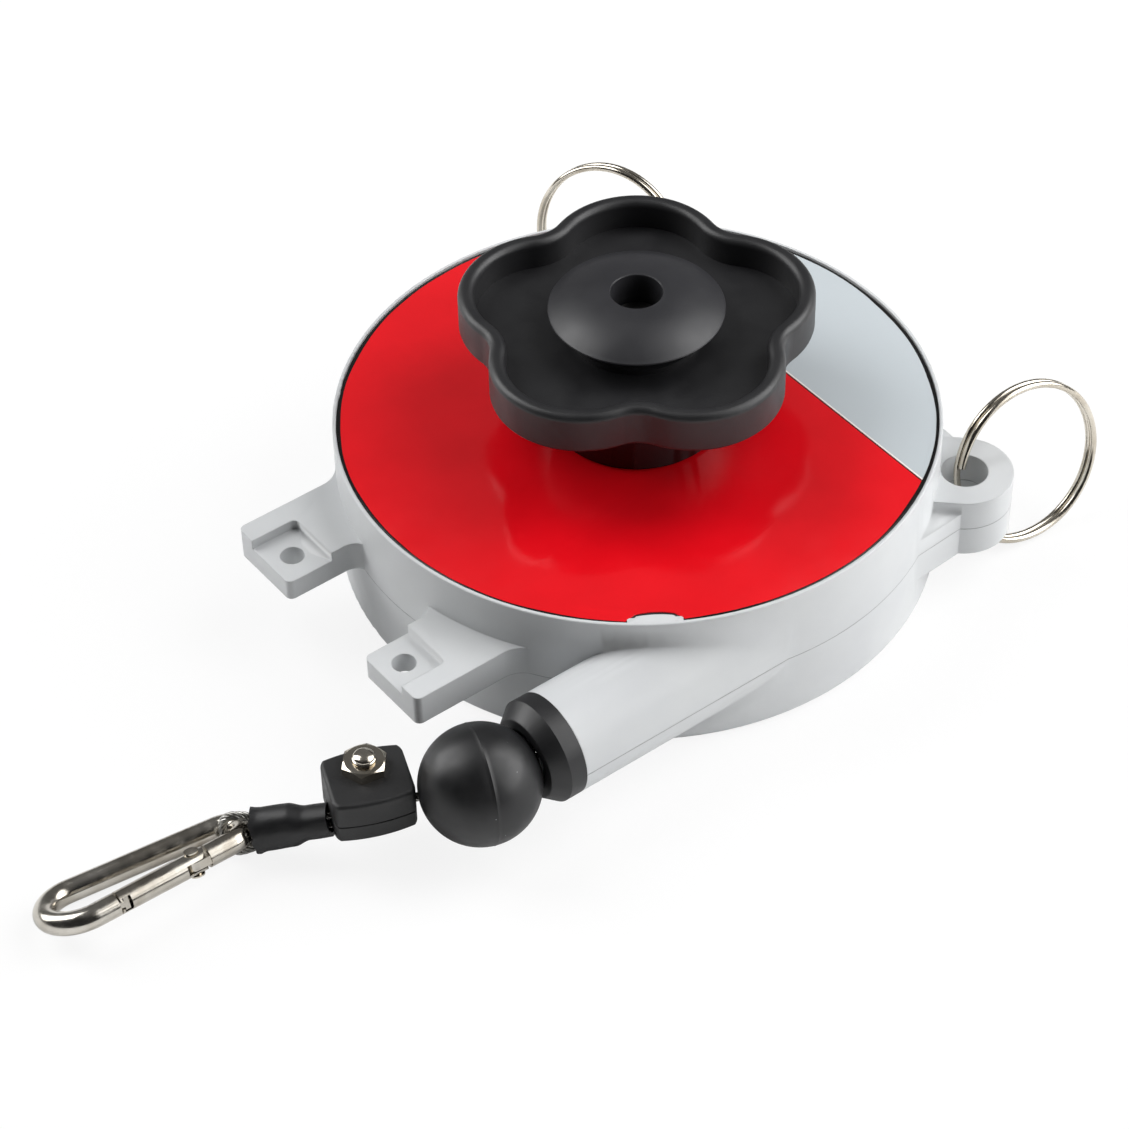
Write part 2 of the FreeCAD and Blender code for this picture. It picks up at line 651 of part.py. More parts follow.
def nipple_place():
    """Where the cable's inner end is held in the lower flange."""
    return polar(DRUM_GROOVE_R, 90.0, GROOVE_LOW_Z - FLANGE_T)


def nipple_pocket():
    """The pocket in the lower flange for the cable's end nipple."""
    at = nipple_place()
    return cyl(NIPPLE_R + BUSH_GAP, at.z - 1, GROOVE_LOW_Z, at.x, at.y)


def cable_nipple():
    """The crimped stop on the cable's inner end."""
    at = nipple_place()
    return cyl(NIPPLE_R, at.z, GROOVE_LOW_Z - BUSH_GAP, at.x, at.y)


def drum_cover():
    """The disc that closes the spring chamber."""
    return tube(DRUM_IN_R + COVER_SEAT - BUSH_GAP, BUSH_OUT_R, COVER_LOW_Z, COVER_TOP_Z)


def cable_wound():
    """The cable on the drum as its layers' outer form, with the leaving end of the last turn."""
    band = tube(WOUND_OUT_R, WOUND_IN_R, GROOVE_LOW_Z + BUSH_GAP, GROOVE_TOP_Z - BUSH_GAP)
    end = rod(CABLE_R, V(0, CABLE_Y, CABLE_Z), V(cable_start_x() + 0.3, CABLE_Y, CABLE_Z))
    return fuse_all([band, end])


def cable_start_x():
    """Where the straight cable is clear of the wound band."""
    return -math.sqrt((WOUND_OUT_R + CABLE_R + 0.3) ** 2 - CABLE_Y**2)


def main_spring():
    """The flat spiral spring between the arbor and the drum's rim, as half-turn arcs."""
    low = WEB_TOP_Z + SPRING_EDGE_GAP
    high = COVER_LOW_Z - SPRING_EDGE_GAP
    r_in = ARBOR_BARREL_R + CHAMBER_GAP
    r_out = DRUM_IN_R - CHAMBER_GAP
    pitch = (r_out - r_in - SPRING_T) / SPRING_TURNS
    inner, outer = [], []
    radius = r_in
    centre = 0.0
    for i in range(2 * SPRING_TURNS):
        sign = 1 if i % 2 == 0 else -1
        for edges, extra in ((inner, 0.0), (outer, SPRING_T)):
            r = radius + extra
            edges.append(arc(V(centre - sign * r, 0, low), V(centre, sign * r, low),
                             V(centre + sign * r, 0, low)))
        radius += pitch / 2
        centre -= sign * pitch / 2
    start = [inner[0].Vertexes[0].Point, outer[0].Vertexes[0].Point]
    finish = [inner[-1].Vertexes[-1].Point, outer[-1].Vertexes[-1].Point]
    wire = Part.Wire(Part.__sortEdges__(inner + outer + [segment(*start), segment(*finish)]))
    return prism(wire, high - low)


def arbor_shaft():
    """The fixed centre shaft: two journals, the spring barrel with its slot, and the hexagon."""
    foot_z = FLOOR_Z + ARBOR_FOOT_GAP
    barrel_low = WEB_TOP_Z + SPRING_EDGE_GAP / 2
    barrel_top = COVER_LOW_Z - SPRING_EDGE_GAP / 2
    journal = cyl(ARBOR_R, foot_z, WELL_TOP_Z + INDEX_BASE_T)
    barrel = cyl(ARBOR_BARREL_R, barrel_low, barrel_top)
    hexed = hexagon(ARBOR_HEX_AF, WELL_TOP_Z, DOME_SEAT_Z, HEX_TURN)
    shaft = fuse_all([journal, barrel, hexed])
    slot = box(-ARBOR_BARREL_R - 1, -ARBOR_R / 2, -SPRING_T, SPRING_T, barrel_low - 1, barrel_top + 1)
    thread = cyl(CAP_SCREW_R, CAP_FLOOR_Z - CAP_SCREW_LEN - 1, DOME_SEAT_Z + 1)
    return shaft.cut(slot.common(cyl(ARBOR_BARREL_R + 1, barrel_low, barrel_top))).cut(thread)


# ---------------------------------------------------------------- knob and cap
def knob_outline(inset, z):
    """The five-lobed outline at a height: arcs about lobe centres joined by hollow arcs."""
    half = math.radians(180.0 / KNOB_LOBES)
    hollow_centre = KNOB_VALLEY_R + KNOB_HOLLOW_R
    across = hollow_centre * math.cos(half)
    # the lobe's arc reaches the lobe radius and meets the hollow's arc in line
    lobe_round = (KNOB_LOBE_R**2 + hollow_centre**2 - 2 * KNOB_LOBE_R * across - KNOB_HOLLOW_R**2) / (
        2 * (KNOB_LOBE_R + KNOB_HOLLOW_R - across))
    lobe_centre = KNOB_LOBE_R - lobe_round
    edges = []
    joins = []
    for i in range(KNOB_LOBES):
        mid = KNOB_FIRST_LOBE + i * 360.0 / KNOB_LOBES
        lobe = polar(lobe_centre, mid, z)
        for side in (-1, 1):
            valley = polar(hollow_centre, mid + side * 180.0 / KNOB_LOBES, z)
            joins.append(lobe + (valley - lobe).normalize() * (lobe_round - inset))
    for i in range(KNOB_LOBES):
        mid = KNOB_FIRST_LOBE + i * 360.0 / KNOB_LOBES
        a, b = joins[2 * i], joins[2 * i + 1]
        edges.append(arc(a, polar(KNOB_LOBE_R - inset, mid, z), b))
        after = joins[(2 * i + 2) % len(joins)]
        valley_mid = polar(KNOB_VALLEY_R - inset, mid + 180.0 / KNOB_LOBES, z)
        edges.append(arc(b, valley_mid, after))
    return Part.Wire(edges)


def knob():
    """The lobed hand knob: tray, skirt, hub, spring well, hexagon bore and lock teeth."""
    tray = prism(knob_outline(0.0, KNOB_SKIRT_Z), KNOB_TOP_Z - KNOB_SKIRT_Z)
    tray = tray.makeFillet(KNOB_LOW_ROUND, [e for e in tray.Edges if near_z(e, KNOB_SKIRT_Z)])
    pocket = prism(knob_outline(KNOB_RIM_T, KNOB_FLOOR_Z), KNOB_TRAY_D + 1)
    under = prism(knob_outline(KNOB_RIM_T, KNOB_SKIRT_Z - 1), KNOB_FLOOR_Z - KNOB_FLOOR_T - KNOB_SKIRT_Z + 1)
    tray = tray.cut(pocket).cut(under)
    rim_top = [e for e in tray.Edges if near_z(e, KNOB_TOP_Z)]
    tray = tray.makeFillet(KNOB_TOP_ROUND, rim_top)
    hub = cyl(KNOB_HUB_R, KNOB_HUB_Z, KNOB_FLOOR_Z - KNOB_FLOOR_T / 2)
    boss = cyl(KNOB_BOSS_R, KNOB_FLOOR_Z - KNOB_FLOOR_T / 2, KNOB_FLOOR_Z + KNOB_BOSS_H)
    whole = fuse_all([tray, hub, boss] + tooth_ring(KNOB_TOOTH_Z, KNOB_HUB_Z + 1, 180.0 / TOOTH_COUNT))
    whole = whole.cut(cyl(KNOB_WELL_R, KNOB_WELL_Z, KNOB_TOP_Z))
    return whole.cut(hexagon(ARBOR_HEX_AF + 2 * HEX_SLIDE_GAP, KNOB_TOOTH_Z - 1, KNOB_TOP_Z, HEX_TURN))


def near_z(edge, z):
    """Whether an edge lies flat at a height."""
    return abs(edge.BoundBox.ZMin - z) < 1e-4 and abs(edge.BoundBox.ZMax - z) < 1e-4


def dome_cap():
    """The domed cap on the arbor's end that traps the knob's spring."""
    span = DOME_R - DOME_HOLE_R
    ball_r = (span**2 + DOME_RISE**2) / (2 * DOME_RISE)
    sweep = math.asin(span / ball_r) / 2
    mid = V(DOME_HOLE_R + ball_r * math.sin(sweep), 0, DOME_TOP_Z - ball_r * (1 - math.cos(sweep)))
    points = [V(DOME_R, 0, DOME_EDGE_Z), V(DOME_R - DOME_EDGE_T / 2, 0, DOME_LOW_Z - DOME_EDGE_T),
              V(DOME_BOSS_R, 0, DOME_LOW_Z - DOME_EDGE_T), V(DOME_BOSS_R, 0, DOME_SEAT_Z),
              V(CAP_SCREW_R + SCREW_GAP, 0, DOME_SEAT_Z), V(CAP_SCREW_R + SCREW_GAP, 0, CAP_FLOOR_Z),
              V(DOME_HOLE_R, 0, CAP_FLOOR_Z), V(DOME_HOLE_R, 0, DOME_TOP_Z)]
    edges = [arc(points[-1], mid, points[0])]
    edges += [segment(points[i], points[i + 1]) for i in range(len(points) - 1)]
    return Part.Face(Part.Wire(edges)).revolve(ORIGIN, Z_AXIS, 360)


def cap_screw():
    """The socket screw that holds the dome cap on the arbor."""
    head = cyl(CAP_HEAD_R, CAP_FLOOR_Z, CAP_FLOOR_Z + CAP_HEAD_H)
    shank = cyl(CAP_SCREW_R - RUN_GAP, CAP_FLOOR_Z - CAP_SCREW_LEN, CAP_FLOOR_Z)
    socket = hexagon(CAP_SOCKET_AF, CAP_FLOOR_Z + CAP_HEAD_H / 3, CAP_FLOOR_Z + CAP_HEAD_H + 1)
    return fuse_all([head, shank]).cut(socket)


def knob_spring():
    """The coil spring under the dome cap that holds the knob down."""
    wire_r = KNOB_SPRING_WIRE / 2
    low = KNOB_WELL_Z + KNOB_SPRING_GAP + wire_r
    high = DOME_LOW_Z - DOME_EDGE_T - BUSH_GAP - wire_r
    return coil(KNOB_SPRING_R, (high - low) / KNOB_SPRING_TURNS, KNOB_SPRING_TURNS, wire_r, low)


# ---------------------------------------------------------------- cable end
def unit(vector):
    """A vector of length one along another."""
    return V(vector).normalize()


def end_frame():
    """Named places and directions of the cable end, from the eye back to the ball."""
    tilt, yaw = math.radians(HOOK_TILT), math.radians(HOOK_YAW)
    hook = V(-math.cos(yaw), math.sin(yaw), 0)
    level = V(math.sin(yaw), math.cos(yaw), 0)
    side = level * math.cos(tilt) - Z_AXIS * math.sin(tilt)
    normal = side.cross(hook)
    bend = math.radians(SLEEVE_BEND)
    sleeve = hook * math.cos(bend) + side * math.sin(bend)
    upper = normal * (LEG_PITCH / 2)
    eye_z = HOOK_WIDE_R * math.sin(tilt) + HOOK_D / 2
    start_z = eye_z - sleeve.z * (SLEEVE_END + SLEEVE_L)
    fall = start_z + upper.z - BALL_P.z
    run = math.sqrt((CLAMP_REACH + CLAMP_L / 2 + CLAMP_SLEEVE_GAP) ** 2 - fall**2)
    start = BALL_P + polar(run, PULL_YAW, fall) - upper
    sleeve_end = start + sleeve * SLEEVE_L
    eye = sleeve_end + sleeve * SLEEVE_END
    pull = unit(start + upper - BALL_P)
    return {"hook": hook, "side": side, "normal": normal, "eye": eye, "sleeve": sleeve,
            "throat": eye - sleeve * EYE_THROAT, "sleeve_end": sleeve_end, "start": start, "upper": upper,
            "pull": pull, "clamp_x": polar(1, PULL_YAW + CLAMP_YAW), "clamp": BALL_P + pull * CLAMP_REACH}


def corner_arc(before, corner, after, share=0.45):
    """The tangent arc at a corner of a route, as large as its runs allow, with its ends."""
    back, on = unit(before - corner), unit(after - corner)
    turn = math.pi - back.getAngle(on)
    shorter = min((before - corner).Length, (after - corner).Length)
    radius = share * shorter / math.tan(turn / 2)
    reach = radius * math.tan(turn / 2)
    a, b = corner + back * reach, corner + on * reach
    middle = corner + unit(back + on) * (radius / math.cos(turn / 2) - radius)
    print("cable arc radius", round(radius, 1), "turn", round(math.degrees(turn), 1))
    return a, b, arc(a, middle, b)


def cable_path(f):
    """The cable's centre line from the drum through ball, clamp and sleeve, round the eye and back."""
    first = V(cable_start_x(), CABLE_Y, CABLE_Z)
    bend = f["start"] + f["upper"]
    top = f["throat"] + f["upper"]
    low = f["throat"] - f["upper"]
    centre = f["eye"] - f["sleeve"] * EYE_R
    half = LEG_PITCH / 2
    back = EYE_THROAT - EYE_R
    reach = math.hypot(back, half)
    lean = math.asin(EYE_R / reach) - math.atan2(half, back)
    touch = unit(f["normal"] * math.cos(lean) - f["sleeve"] * math.sin(lean))
    touch_low = unit(-f["normal"] * math.cos(lean) - f["sleeve"] * math.sin(lean))
    on_top, on_low = centre + touch * EYE_R, centre + touch_low * EYE_R
    a1, b1, arc1 = corner_arc(first, BALL_P, bend)
    a2, b2, arc2 = corner_arc(BALL_P, bend, top)
    a3, b3, arc3 = corner_arc(bend, top, on_top)
    a4, b4, arc4 = corner_arc(on_low, low, f["start"] - f["upper"])
    tip_arc = arc(on_top, f["eye"], on_low)
    dead_end = f["start"] - f["upper"] + f["sleeve"] * FERRULE_INSET / 2
    line = [(first, a1), (b1, a2), (b2, a3), (b3, on_top), (on_low, a4), (b4, dead_end)]
    runs = [segment(*ends) for ends in line]
    return Part.Wire([runs[0], arc1, runs[1], arc2, runs[2], arc3, runs[3], tip_arc, runs[4], arc4, runs[5]])


def cable_run(f):
    """The cable outside the drum, one tube along its path."""
    path = cable_path(f)
    start = V(cable_start_x(), CABLE_Y, CABLE_Z)
    section = Part.Wire(Part.makeCircle(CABLE_R, start, X_AXIS))
    cable = path.makePipeShell([section], True, False)
    ideal = math.pi * CABLE_R**2 * path.Length
    print("cable volume", round(cable.Volume, 1), "section x length", round(ideal, 1))
    print("cable length", round(path.Length, 1))
    return cable


def stop_ball(cable):
    """The rubber stop ball on the cable."""
    ball = Part.makeSphere(BALL_R, BALL_P)
    ball.rotate(BALL_P, Z_AXIS, 90)
    return ball.cut(cable)


def clamp_block():
    """The clamp's whole block about the cable, along +X, with bowed sides and soft edges."""
    y0, y1 = -CLAMP_SHIFT - CLAMP_W / 2 - CLAMP_BULGE, -CLAMP_SHIFT + CLAMP_W / 2 + CLAMP_BULGE
    low, high = -CLAMP_LOWER_H, CLAMP_UPPER_H
    half_l = CLAMP_L / 2
    corners = [V(-half_l, y0, low), V(half_l, y0, low), V(half_l, y1, low), V(-half_l, y1, low)]
    block = prism(rounded_outline(corners, [CLAMP_ROUND] * 4), high - low)
    bow = CLAMP_L**2 / (8 * CLAMP_BULGE) + CLAMP_BULGE / 2
    for side, edge in ((-1, y0), (1, y1)):
        block = block.common(cyl(bow, low - 1, high + 1, 0, edge - side * bow))
    rims = [e for e in block.Edges if near_z(e, low) or near_z(e, high)]
    return block.makeFillet(CLAMP_EDGE, rims)


def in_clamp(solid, f):
    """A solid from the clamp's own level frame, laid on the cable."""
    return placed(solid, f["clamp"], f["clamp_x"], Z_AXIS)


def bolt_y():
    """The bolt's distance beside the cable, on the far side."""
    return -(CABLE_R + BOLT_R + CLAMP_WALL)


def clamp_half(low, high):
    """The part of the clamp's block between two heights, with its bolt hole."""
    half = clamp_block().common(box(-CLAMP_L, CLAMP_L, -2 * CLAMP_W, 2 * CLAMP_W, low, high))
    return half.cut(cyl(BOLT_R + RIVET_GAP, low - 1, high + 1, 0, bolt_y()))


def sleeve_socket(f):
    """The room that the clamp leaves for the sleeve's end."""
    inner = f["start"] - f["sleeve"] * SLEEVE_SOCKET_GAP
    return rod(SLEEVE_R_NEAR + SLEEVE_SOCKET_GAP, inner, f["start"] + f["sleeve"] * SLEEVE_L)


def clamp_upper(f, cable):
    """The clamp's upper half with its cable groove and bolt hole."""
    half = clamp_half(CLAMP_SPLIT / 2, CLAMP_UPPER_H + 1)
    return in_clamp(half, f).cut(cable).cut(sleeve_socket(f))


def clamp_lower(f, cable):
    """The clamp's lower half with its groove, bolt hole and pocket for the bolt's head."""
    half = clamp_half(-CLAMP_LOWER_H - 1, -CLAMP_SPLIT / 2)
    pocket = hexagon(BOLT_HEAD_AF + SCREW_GAP, -CLAMP_LOWER_H - 1, -CLAMP_LOWER_H + BOLT_HEAD_SINK)
    pocket.translate(V(0, bolt_y(), 0))
    return in_clamp(half.cut(pocket), f).cut(cable).cut(sleeve_socket(f))


def clamp_bolt(f):
    """The hexagon-head bolt up through both clamp halves."""
    head_top = -CLAMP_LOWER_H + BOLT_HEAD_SINK
    head = hexagon(BOLT_HEAD_AF, head_top - BOLT_HEAD_H, head_top)
    top = CLAMP_UPPER_H + NUT_H + STUD_RISE
    shank = lathe([(0, head_top), (BOLT_R, head_top), (BOLT_R, top - BOLT_R / 4),
                   (BOLT_R * 3 / 4, top), (0, top)])
    bolt = fuse_all([head, shank])
    bolt.translate(V(0, bolt_y(), 0))
    return in_clamp(bolt, f)


def clamp_nut(f):
    """The hexagon nut on top of the clamp, its top corners turned down."""
    low, high = CLAMP_UPPER_H, CLAMP_UPPER_H + NUT_H
    corner = NUT_AF / math.sqrt(3)
    turned = lathe([(0, low), (corner + 0.1, low), (corner + 0.1, high - NUT_H / 4),
                    (NUT_AF / 2 * 0.95, high), (0, high)])
    nut = hexagon(NUT_AF, low, high, 10).common(turned).cut(cyl(BOLT_R, low - 1, high + 1))
    nut.translate(V(0, bolt_y(), 0))
    return in_clamp(nut, f)


def crimp_ferrule(f, cable):
    """The crimped ferrule that joins the eye's two legs inside the sleeve."""
    radius = LEG_PITCH / 2 + CABLE_R + FERRULE_T
    base = f["throat"] - f["sleeve"] * (FERRULE_INSET + FERRULE_L)
    return Part.makeCylinder(radius, FERRULE_L, base, f["sleeve"]).cut(cable)


def shrink_sleeve(f):
    """The shrunk sleeve over the ferrule and the cable's two legs, wider at the eye."""
    length = SLEEVE_L
    waist, shoulder = length * 0.38, length * 0.52
    outer = [(SLEEVE_R_NEAR, 0, 0.3), (SLEEVE_R_NEAR, waist, 2.0),
             (SLEEVE_R_FAR, shoulder, 2.0), (SLEEVE_R_FAR, length, 0.3)]
    inner = [(SLEEVE_R_FAR - SLEEVE_T, length), (SLEEVE_R_FAR - SLEEVE_T, shoulder),
             (SLEEVE_R_NEAR - SLEEVE_T, waist), (SLEEVE_R_NEAR - SLEEVE_T, 0)]
    return lathe_about(outer + inner, f["start"], f["sleeve"])


# ---------------------------------------------------------------- snap hook
def hook_sizes():
    """Arc centres and the straight legs' slope in the hook's own plane, from the eye at zero."""
    back = CABLE_R + HOOK_D / 2 + HOOK_GAP
    narrow_x = HOOK_NARROW_R - back
    wide_x = HOOK_L - HOOK_D - back - HOOK_WIDE_R
    slope = math.asin((HOOK_WIDE_R - HOOK_NARROW_R) / (wide_x - narrow_x))
    return back, narrow_x, wide_x, slope


def leg_point(distance, side):
    """A point on a leg's centre line, at a distance from the narrow end; +1 is the gate's side."""
    back, narrow_x, _, slope = hook_sizes()
    x = distance - back
    touch_x = narrow_x - HOOK_NARROW_R * math.sin(slope)
    touch_y = HOOK_NARROW_R * math.cos(slope)
    return V(x, side * (touch_y + (x - touch_x) * math.tan(slope)), 0)


def leg_frame(solid, distance):
    """A solid drawn about the origin along +X, laid on the gate's leg."""
    slope = hook_sizes()[3]
    moved = solid.copy()
    moved.rotate(ORIGIN, Z_AXIS, math.degrees(slope))
    moved.translate(leg_point(distance, 1))
    return moved


def nose_tee(gap):
    """The T-shaped nose that the gate closes over, pointing back along the leg."""
    half_w = NOSE_HALF_W + gap
    neck_t = (NOSE_NECK_T + gap) / 2
    head_t = (NOSE_HEAD_T + gap) / 2
    neck = box(-NOSE_NECK_L - gap, gap, -half_w, half_w, -neck_t, neck_t)
    head = box(-NOSE_NECK_L - NOSE_HEAD_L - gap, -NOSE_NECK_L + gap, -half_w, half_w, -head_t, head_t)
    return fuse_all([neck, head])


def hook_body():
    """The snap hook's bent rod with its pivot tongue and T-shaped nose."""
    back, narrow_x, wide_x, slope = hook_sizes()
    r = HOOK_D / 2
    stub = leg_point(GATE_PIVOT_U - r - GATE_END_GAP, 1)
    nose = leg_point(GATE_NOSE_U, 1)
    touch = [V(cx - cr * math.sin(slope), s * cr * math.cos(slope), 0)
             for cx, cr in ((narrow_x, HOOK_NARROW_R), (wide_x, HOOK_WIDE_R)) for s in (1, -1)]
    narrow_end = V(-back, 0, 0)
    wide_end = V(wide_x + HOOK_WIDE_R, 0, 0)
    path = Part.Wire([segment(stub, touch[0]), arc(touch[0], narrow_end, touch[1]),
                      segment(touch[1], touch[3]), arc(touch[3], wide_end, touch[2]),
                      segment(touch[2], nose)])
    along = unit(touch[0] - stub)
    rod_body = path.makePipeShell([Part.Wire(Part.makeCircle(r, stub, along))], True, False)
    tongue = fuse_all([box(-r - GATE_END_GAP - 1, 0, -r * 0.9, r * 0.9, -TONGUE_T / 2, TONGUE_T / 2),
                       cyl(r * 0.9, -TONGUE_T / 2, TONGUE_T / 2)])
    tongue = tongue.cut(cyl(RIVET_R, -r, r))
    tee = nose_tee(0.0).fuse(box(-0.1, 1, -NOSE_HALF_W, NOSE_HALF_W, -NOSE_NECK_T / 2, NOSE_NECK_T / 2))
    return fuse_all([rod_body, leg_frame(tongue, GATE_PIVOT_U), leg_frame(tee, GATE_NOSE_U)])


def hook_gate():
    """The hook's gate: a forked, slotted bar that swings inwards on its rivet."""
    r = HOOK_D / 2
    length = (GATE_NOSE_U - GATE_PIVOT_U) / math.cos(hook_sizes()[3]) - GATE_END_GAP
    bar = Part.makeCylinder(r, length, ORIGIN, X_AXIS)
    end = cyl(r, -r, r).common(Part.makeCylinder(r, 2 * r, V(-r, 0, 0), X_AXIS))
    bar = fuse_all([bar, end])
    half_t = TONGUE_T / 2 + TONGUE_GAP
    bar = bar.cut(box(-r - 1, r + TONGUE_GAP, -r - 1, r + 1, -half_t, half_t))
    bar = bar.cut(cyl(RIVET_R + RIVET_GAP, -r - 1, r + 1))
    slot = nose_tee(NOSE_GAP)
    slot = slot.fuse(nose_tee(NOSE_GAP).translated(V(0, NOSE_HALF_W + NOSE_GAP, 0)))
    slot.translate(V(length + GATE_END_GAP, 0, 0))
    return leg_frame(bar.cut(slot), GATE_PIVOT_U)


def gate_rivet():
    """The rivet through the hook's tongue and the gate's fork."""
    r = HOOK_D / 2 + RIVET_GAP
    heads = [cyl(RIVET_HEAD_R, r, r + RIVET_HEAD_H), cyl(RIVET_HEAD_R, -r - RIVET_HEAD_H, -r)]
    return leg_frame(fuse_all([cyl(RIVET_R, -r, r)] + heads), GATE_PIVOT_U)


# ---------------------------------------------------------------- split rings
def split_ring(side, yaw):
    """A two-coil split ring through a lug's hole, leaning to one side."""
    wire_r = RING_WIRE / 2
    mean_r = RING_OD / 2 - wire_r
    pitch = RING_WIRE + RING_COIL_GAP
    ring = coil(mean_r, pitch, RING_COILS, wire_r, -pitch * RING_COILS / 2)
    out = polar(1, yaw)
    across = Z_AXIS.cross(out)
    lean = math.radians(RING_LEAN)
    normal = across * (side * math.cos(lean)) + Z_AXIS * math.sin(lean)
    hole = polar(LUG_HOLE_DIST, LUG_ANGLE * side)
    centre = hole + out * (mean_r - RING_SEAT) + V(0, 0, RING_Z)
    return placed(ring, centre, out, normal)


def main():
    """Builds every sub-part and writes its file."""
    os.makedirs("parts", exist_ok=True)
    f = end_frame()
    cable = cable_run(f)
    write("rear_housing", rear_housing())
    write("front_housing", front_housing())
    write("face_plate", face_plate())
    write("housing_screws", housing_screws())
    write("outlet_bush", outlet_bush())
    write("rear_arbor_bush", sleeve_bush(FLOOR_Z, REAR_BOSS_TOP_Z))
    write("front_arbor_bush", sleeve_bush(WELL_LOW_Z, WELL_TOP_Z + INDEX_BASE_T))
    write("index_ring", index_ring())
    write("drum", drum())
    write("drum_cover", drum_cover())
    write("drum_rear_bush", sleeve_bush(DRUM_LOW_Z, WEB_TOP_Z))
    write("drum_front_bush", sleeve_bush(COVER_LOW_Z, COVER_TOP_Z))
    write("main_spring", main_spring())
    write("cable_wound", cable_wound())
    write("cable_nipple", cable_nipple())
    write("arbor_shaft", arbor_shaft())
    write("dome_cap", dome_cap())
    write("cap_screw", cap_screw())
    write("knob_spring", knob_spring())
    write("knob", knob())
    write("cable_run", cable)
    write("stop_ball", stop_ball(cable))
    write("clamp_upper", clamp_upper(f, cable))
    write("clamp_lower", clamp_lower(f, cable))
    write("clamp_bolt", clamp_bolt(f))
    write("clamp_nut", clamp_nut(f))
    write("crimp_ferrule", crimp_ferrule(f, cable))
    write("shrink_sleeve", shrink_sleeve(f))
    for name, solid in (("hook_body", hook_body()), ("hook_gate", hook_gate()), ("gate_rivet", gate_rivet())):
        write(name, placed(solid, f["eye"], f["hook"], f["normal"]))
    write("hanger_ring", split_ring(-1, HANGER_YAW))
    write("safety_ring", split_ring(1, SAFETY_YAW))
    pivot_mark = placed(Part.Vertex(leg_point(GATE_PIVOT_U, 1)), f["eye"], f["hook"], f["normal"])
    pivot = pivot_mark.Vertexes[0].Point
    for name, at in (("eye", f["eye"]), ("normal", f["normal"]), ("gate pivot", pivot)):
        print(name, [round(c, 3) for c in (at.x, at.y, at.z)])


main()
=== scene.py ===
"""Looks of a spring tool balancer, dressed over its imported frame, in metres."""
import logging
import math
from dataclasses import dataclass, field
from enum import Enum

import bmesh
import bpy
from mathutils import Matrix, Vector, noise


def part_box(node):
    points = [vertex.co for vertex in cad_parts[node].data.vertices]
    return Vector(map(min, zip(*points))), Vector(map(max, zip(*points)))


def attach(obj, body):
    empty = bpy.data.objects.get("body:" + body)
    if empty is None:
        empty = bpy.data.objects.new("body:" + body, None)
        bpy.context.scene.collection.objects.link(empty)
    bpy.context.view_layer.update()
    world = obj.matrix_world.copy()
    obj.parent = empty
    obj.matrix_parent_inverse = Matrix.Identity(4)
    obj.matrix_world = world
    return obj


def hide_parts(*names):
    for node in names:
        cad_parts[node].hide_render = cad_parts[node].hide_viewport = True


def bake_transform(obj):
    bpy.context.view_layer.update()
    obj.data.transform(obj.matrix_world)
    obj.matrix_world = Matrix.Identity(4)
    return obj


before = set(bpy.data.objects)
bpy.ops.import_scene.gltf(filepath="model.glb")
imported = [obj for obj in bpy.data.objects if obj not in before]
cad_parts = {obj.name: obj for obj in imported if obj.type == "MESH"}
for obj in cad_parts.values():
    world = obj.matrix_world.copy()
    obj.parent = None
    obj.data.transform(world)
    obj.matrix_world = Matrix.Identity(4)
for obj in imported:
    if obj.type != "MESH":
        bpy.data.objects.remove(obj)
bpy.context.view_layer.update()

LOG = logging.getLogger("balancer")
MM = 0.001
FULL_TURN = 2 * math.pi
SMOOTH_ANGLE = math.radians(25)
MOULD_ANGLE = math.radians(50)
TORN_ANGLE = math.radians(40)
CRUMPLED_ANGLE = math.radians(35)
STRAND_ANGLE = math.radians(60)
FLAT_ANGLE = math.radians(0.3)
MERGE = 0.002 * MM
BEVEL_SAMPLES = 4
# Noise keeps near its middle, so these ends are where it is read as nought and one.
NOISE_LOW, NOISE_HIGH = 0.3, 0.7
CLOUD_LOW = 0.35

Socket = bpy.types.NodeSocket
Object = bpy.types.Object
Point = tuple[float, float, float]
Profile = list[tuple[float, float]]


def linear(code: str) -> tuple[float, float, float, float]:
    """Turns an sRGB hex colour into linear values.

    Args:
        code: Six hex digits after a hash.

    Returns:
        Red, green, blue and alpha, linear.
    """
    parts = [int(code[i:i + 2], 16) / 255 for i in (1, 3, 5)]
    red, green, blue = [p / 12.92 if p <= 0.04045 else ((p + 0.055) / 1.055) ** 2.4 for p in parts]
    return red, green, blue, 1.0


def add(tree: bpy.types.NodeTree, kind: str, sockets: dict | None = None, **settings: object) -> bpy.types.Node:
    """Adds a node with its settings, and fills its sockets.

    Args:
        tree: The node tree.
        kind: The node's type name.
        sockets: What goes into each input, by name or number: a value, or an output to link.
        **settings: The node's own properties.

    Returns:
        The new node.
    """
    node = tree.nodes.new(kind)
    for name, value in settings.items():
        setattr(node, name, value)
    for key, value in (sockets or {}).items():
        if isinstance(value, Socket):
            tree.links.new(value, node.inputs[key])
        else:
            node.inputs[key].default_value = value
    return node


def per_metre(size_mm: float) -> float:
    """Gives the texture scale for a feature of a real size in millimetres."""
    return 1 / (size_mm * MM)


class Slot(Enum):
    """The record's material slots."""

    CASE = "grey_case"
    PLATE = "printed_plate"
    PLASTIC = "black_plastic"
    RUBBER = "black_rubber"
    SHRINK = "shrink_film"
    NICKEL = "nickel_steel"
    ROD = "stainless_rod"
    ROPE = "wire_rope"
    ALLOY = "soft_alloy"


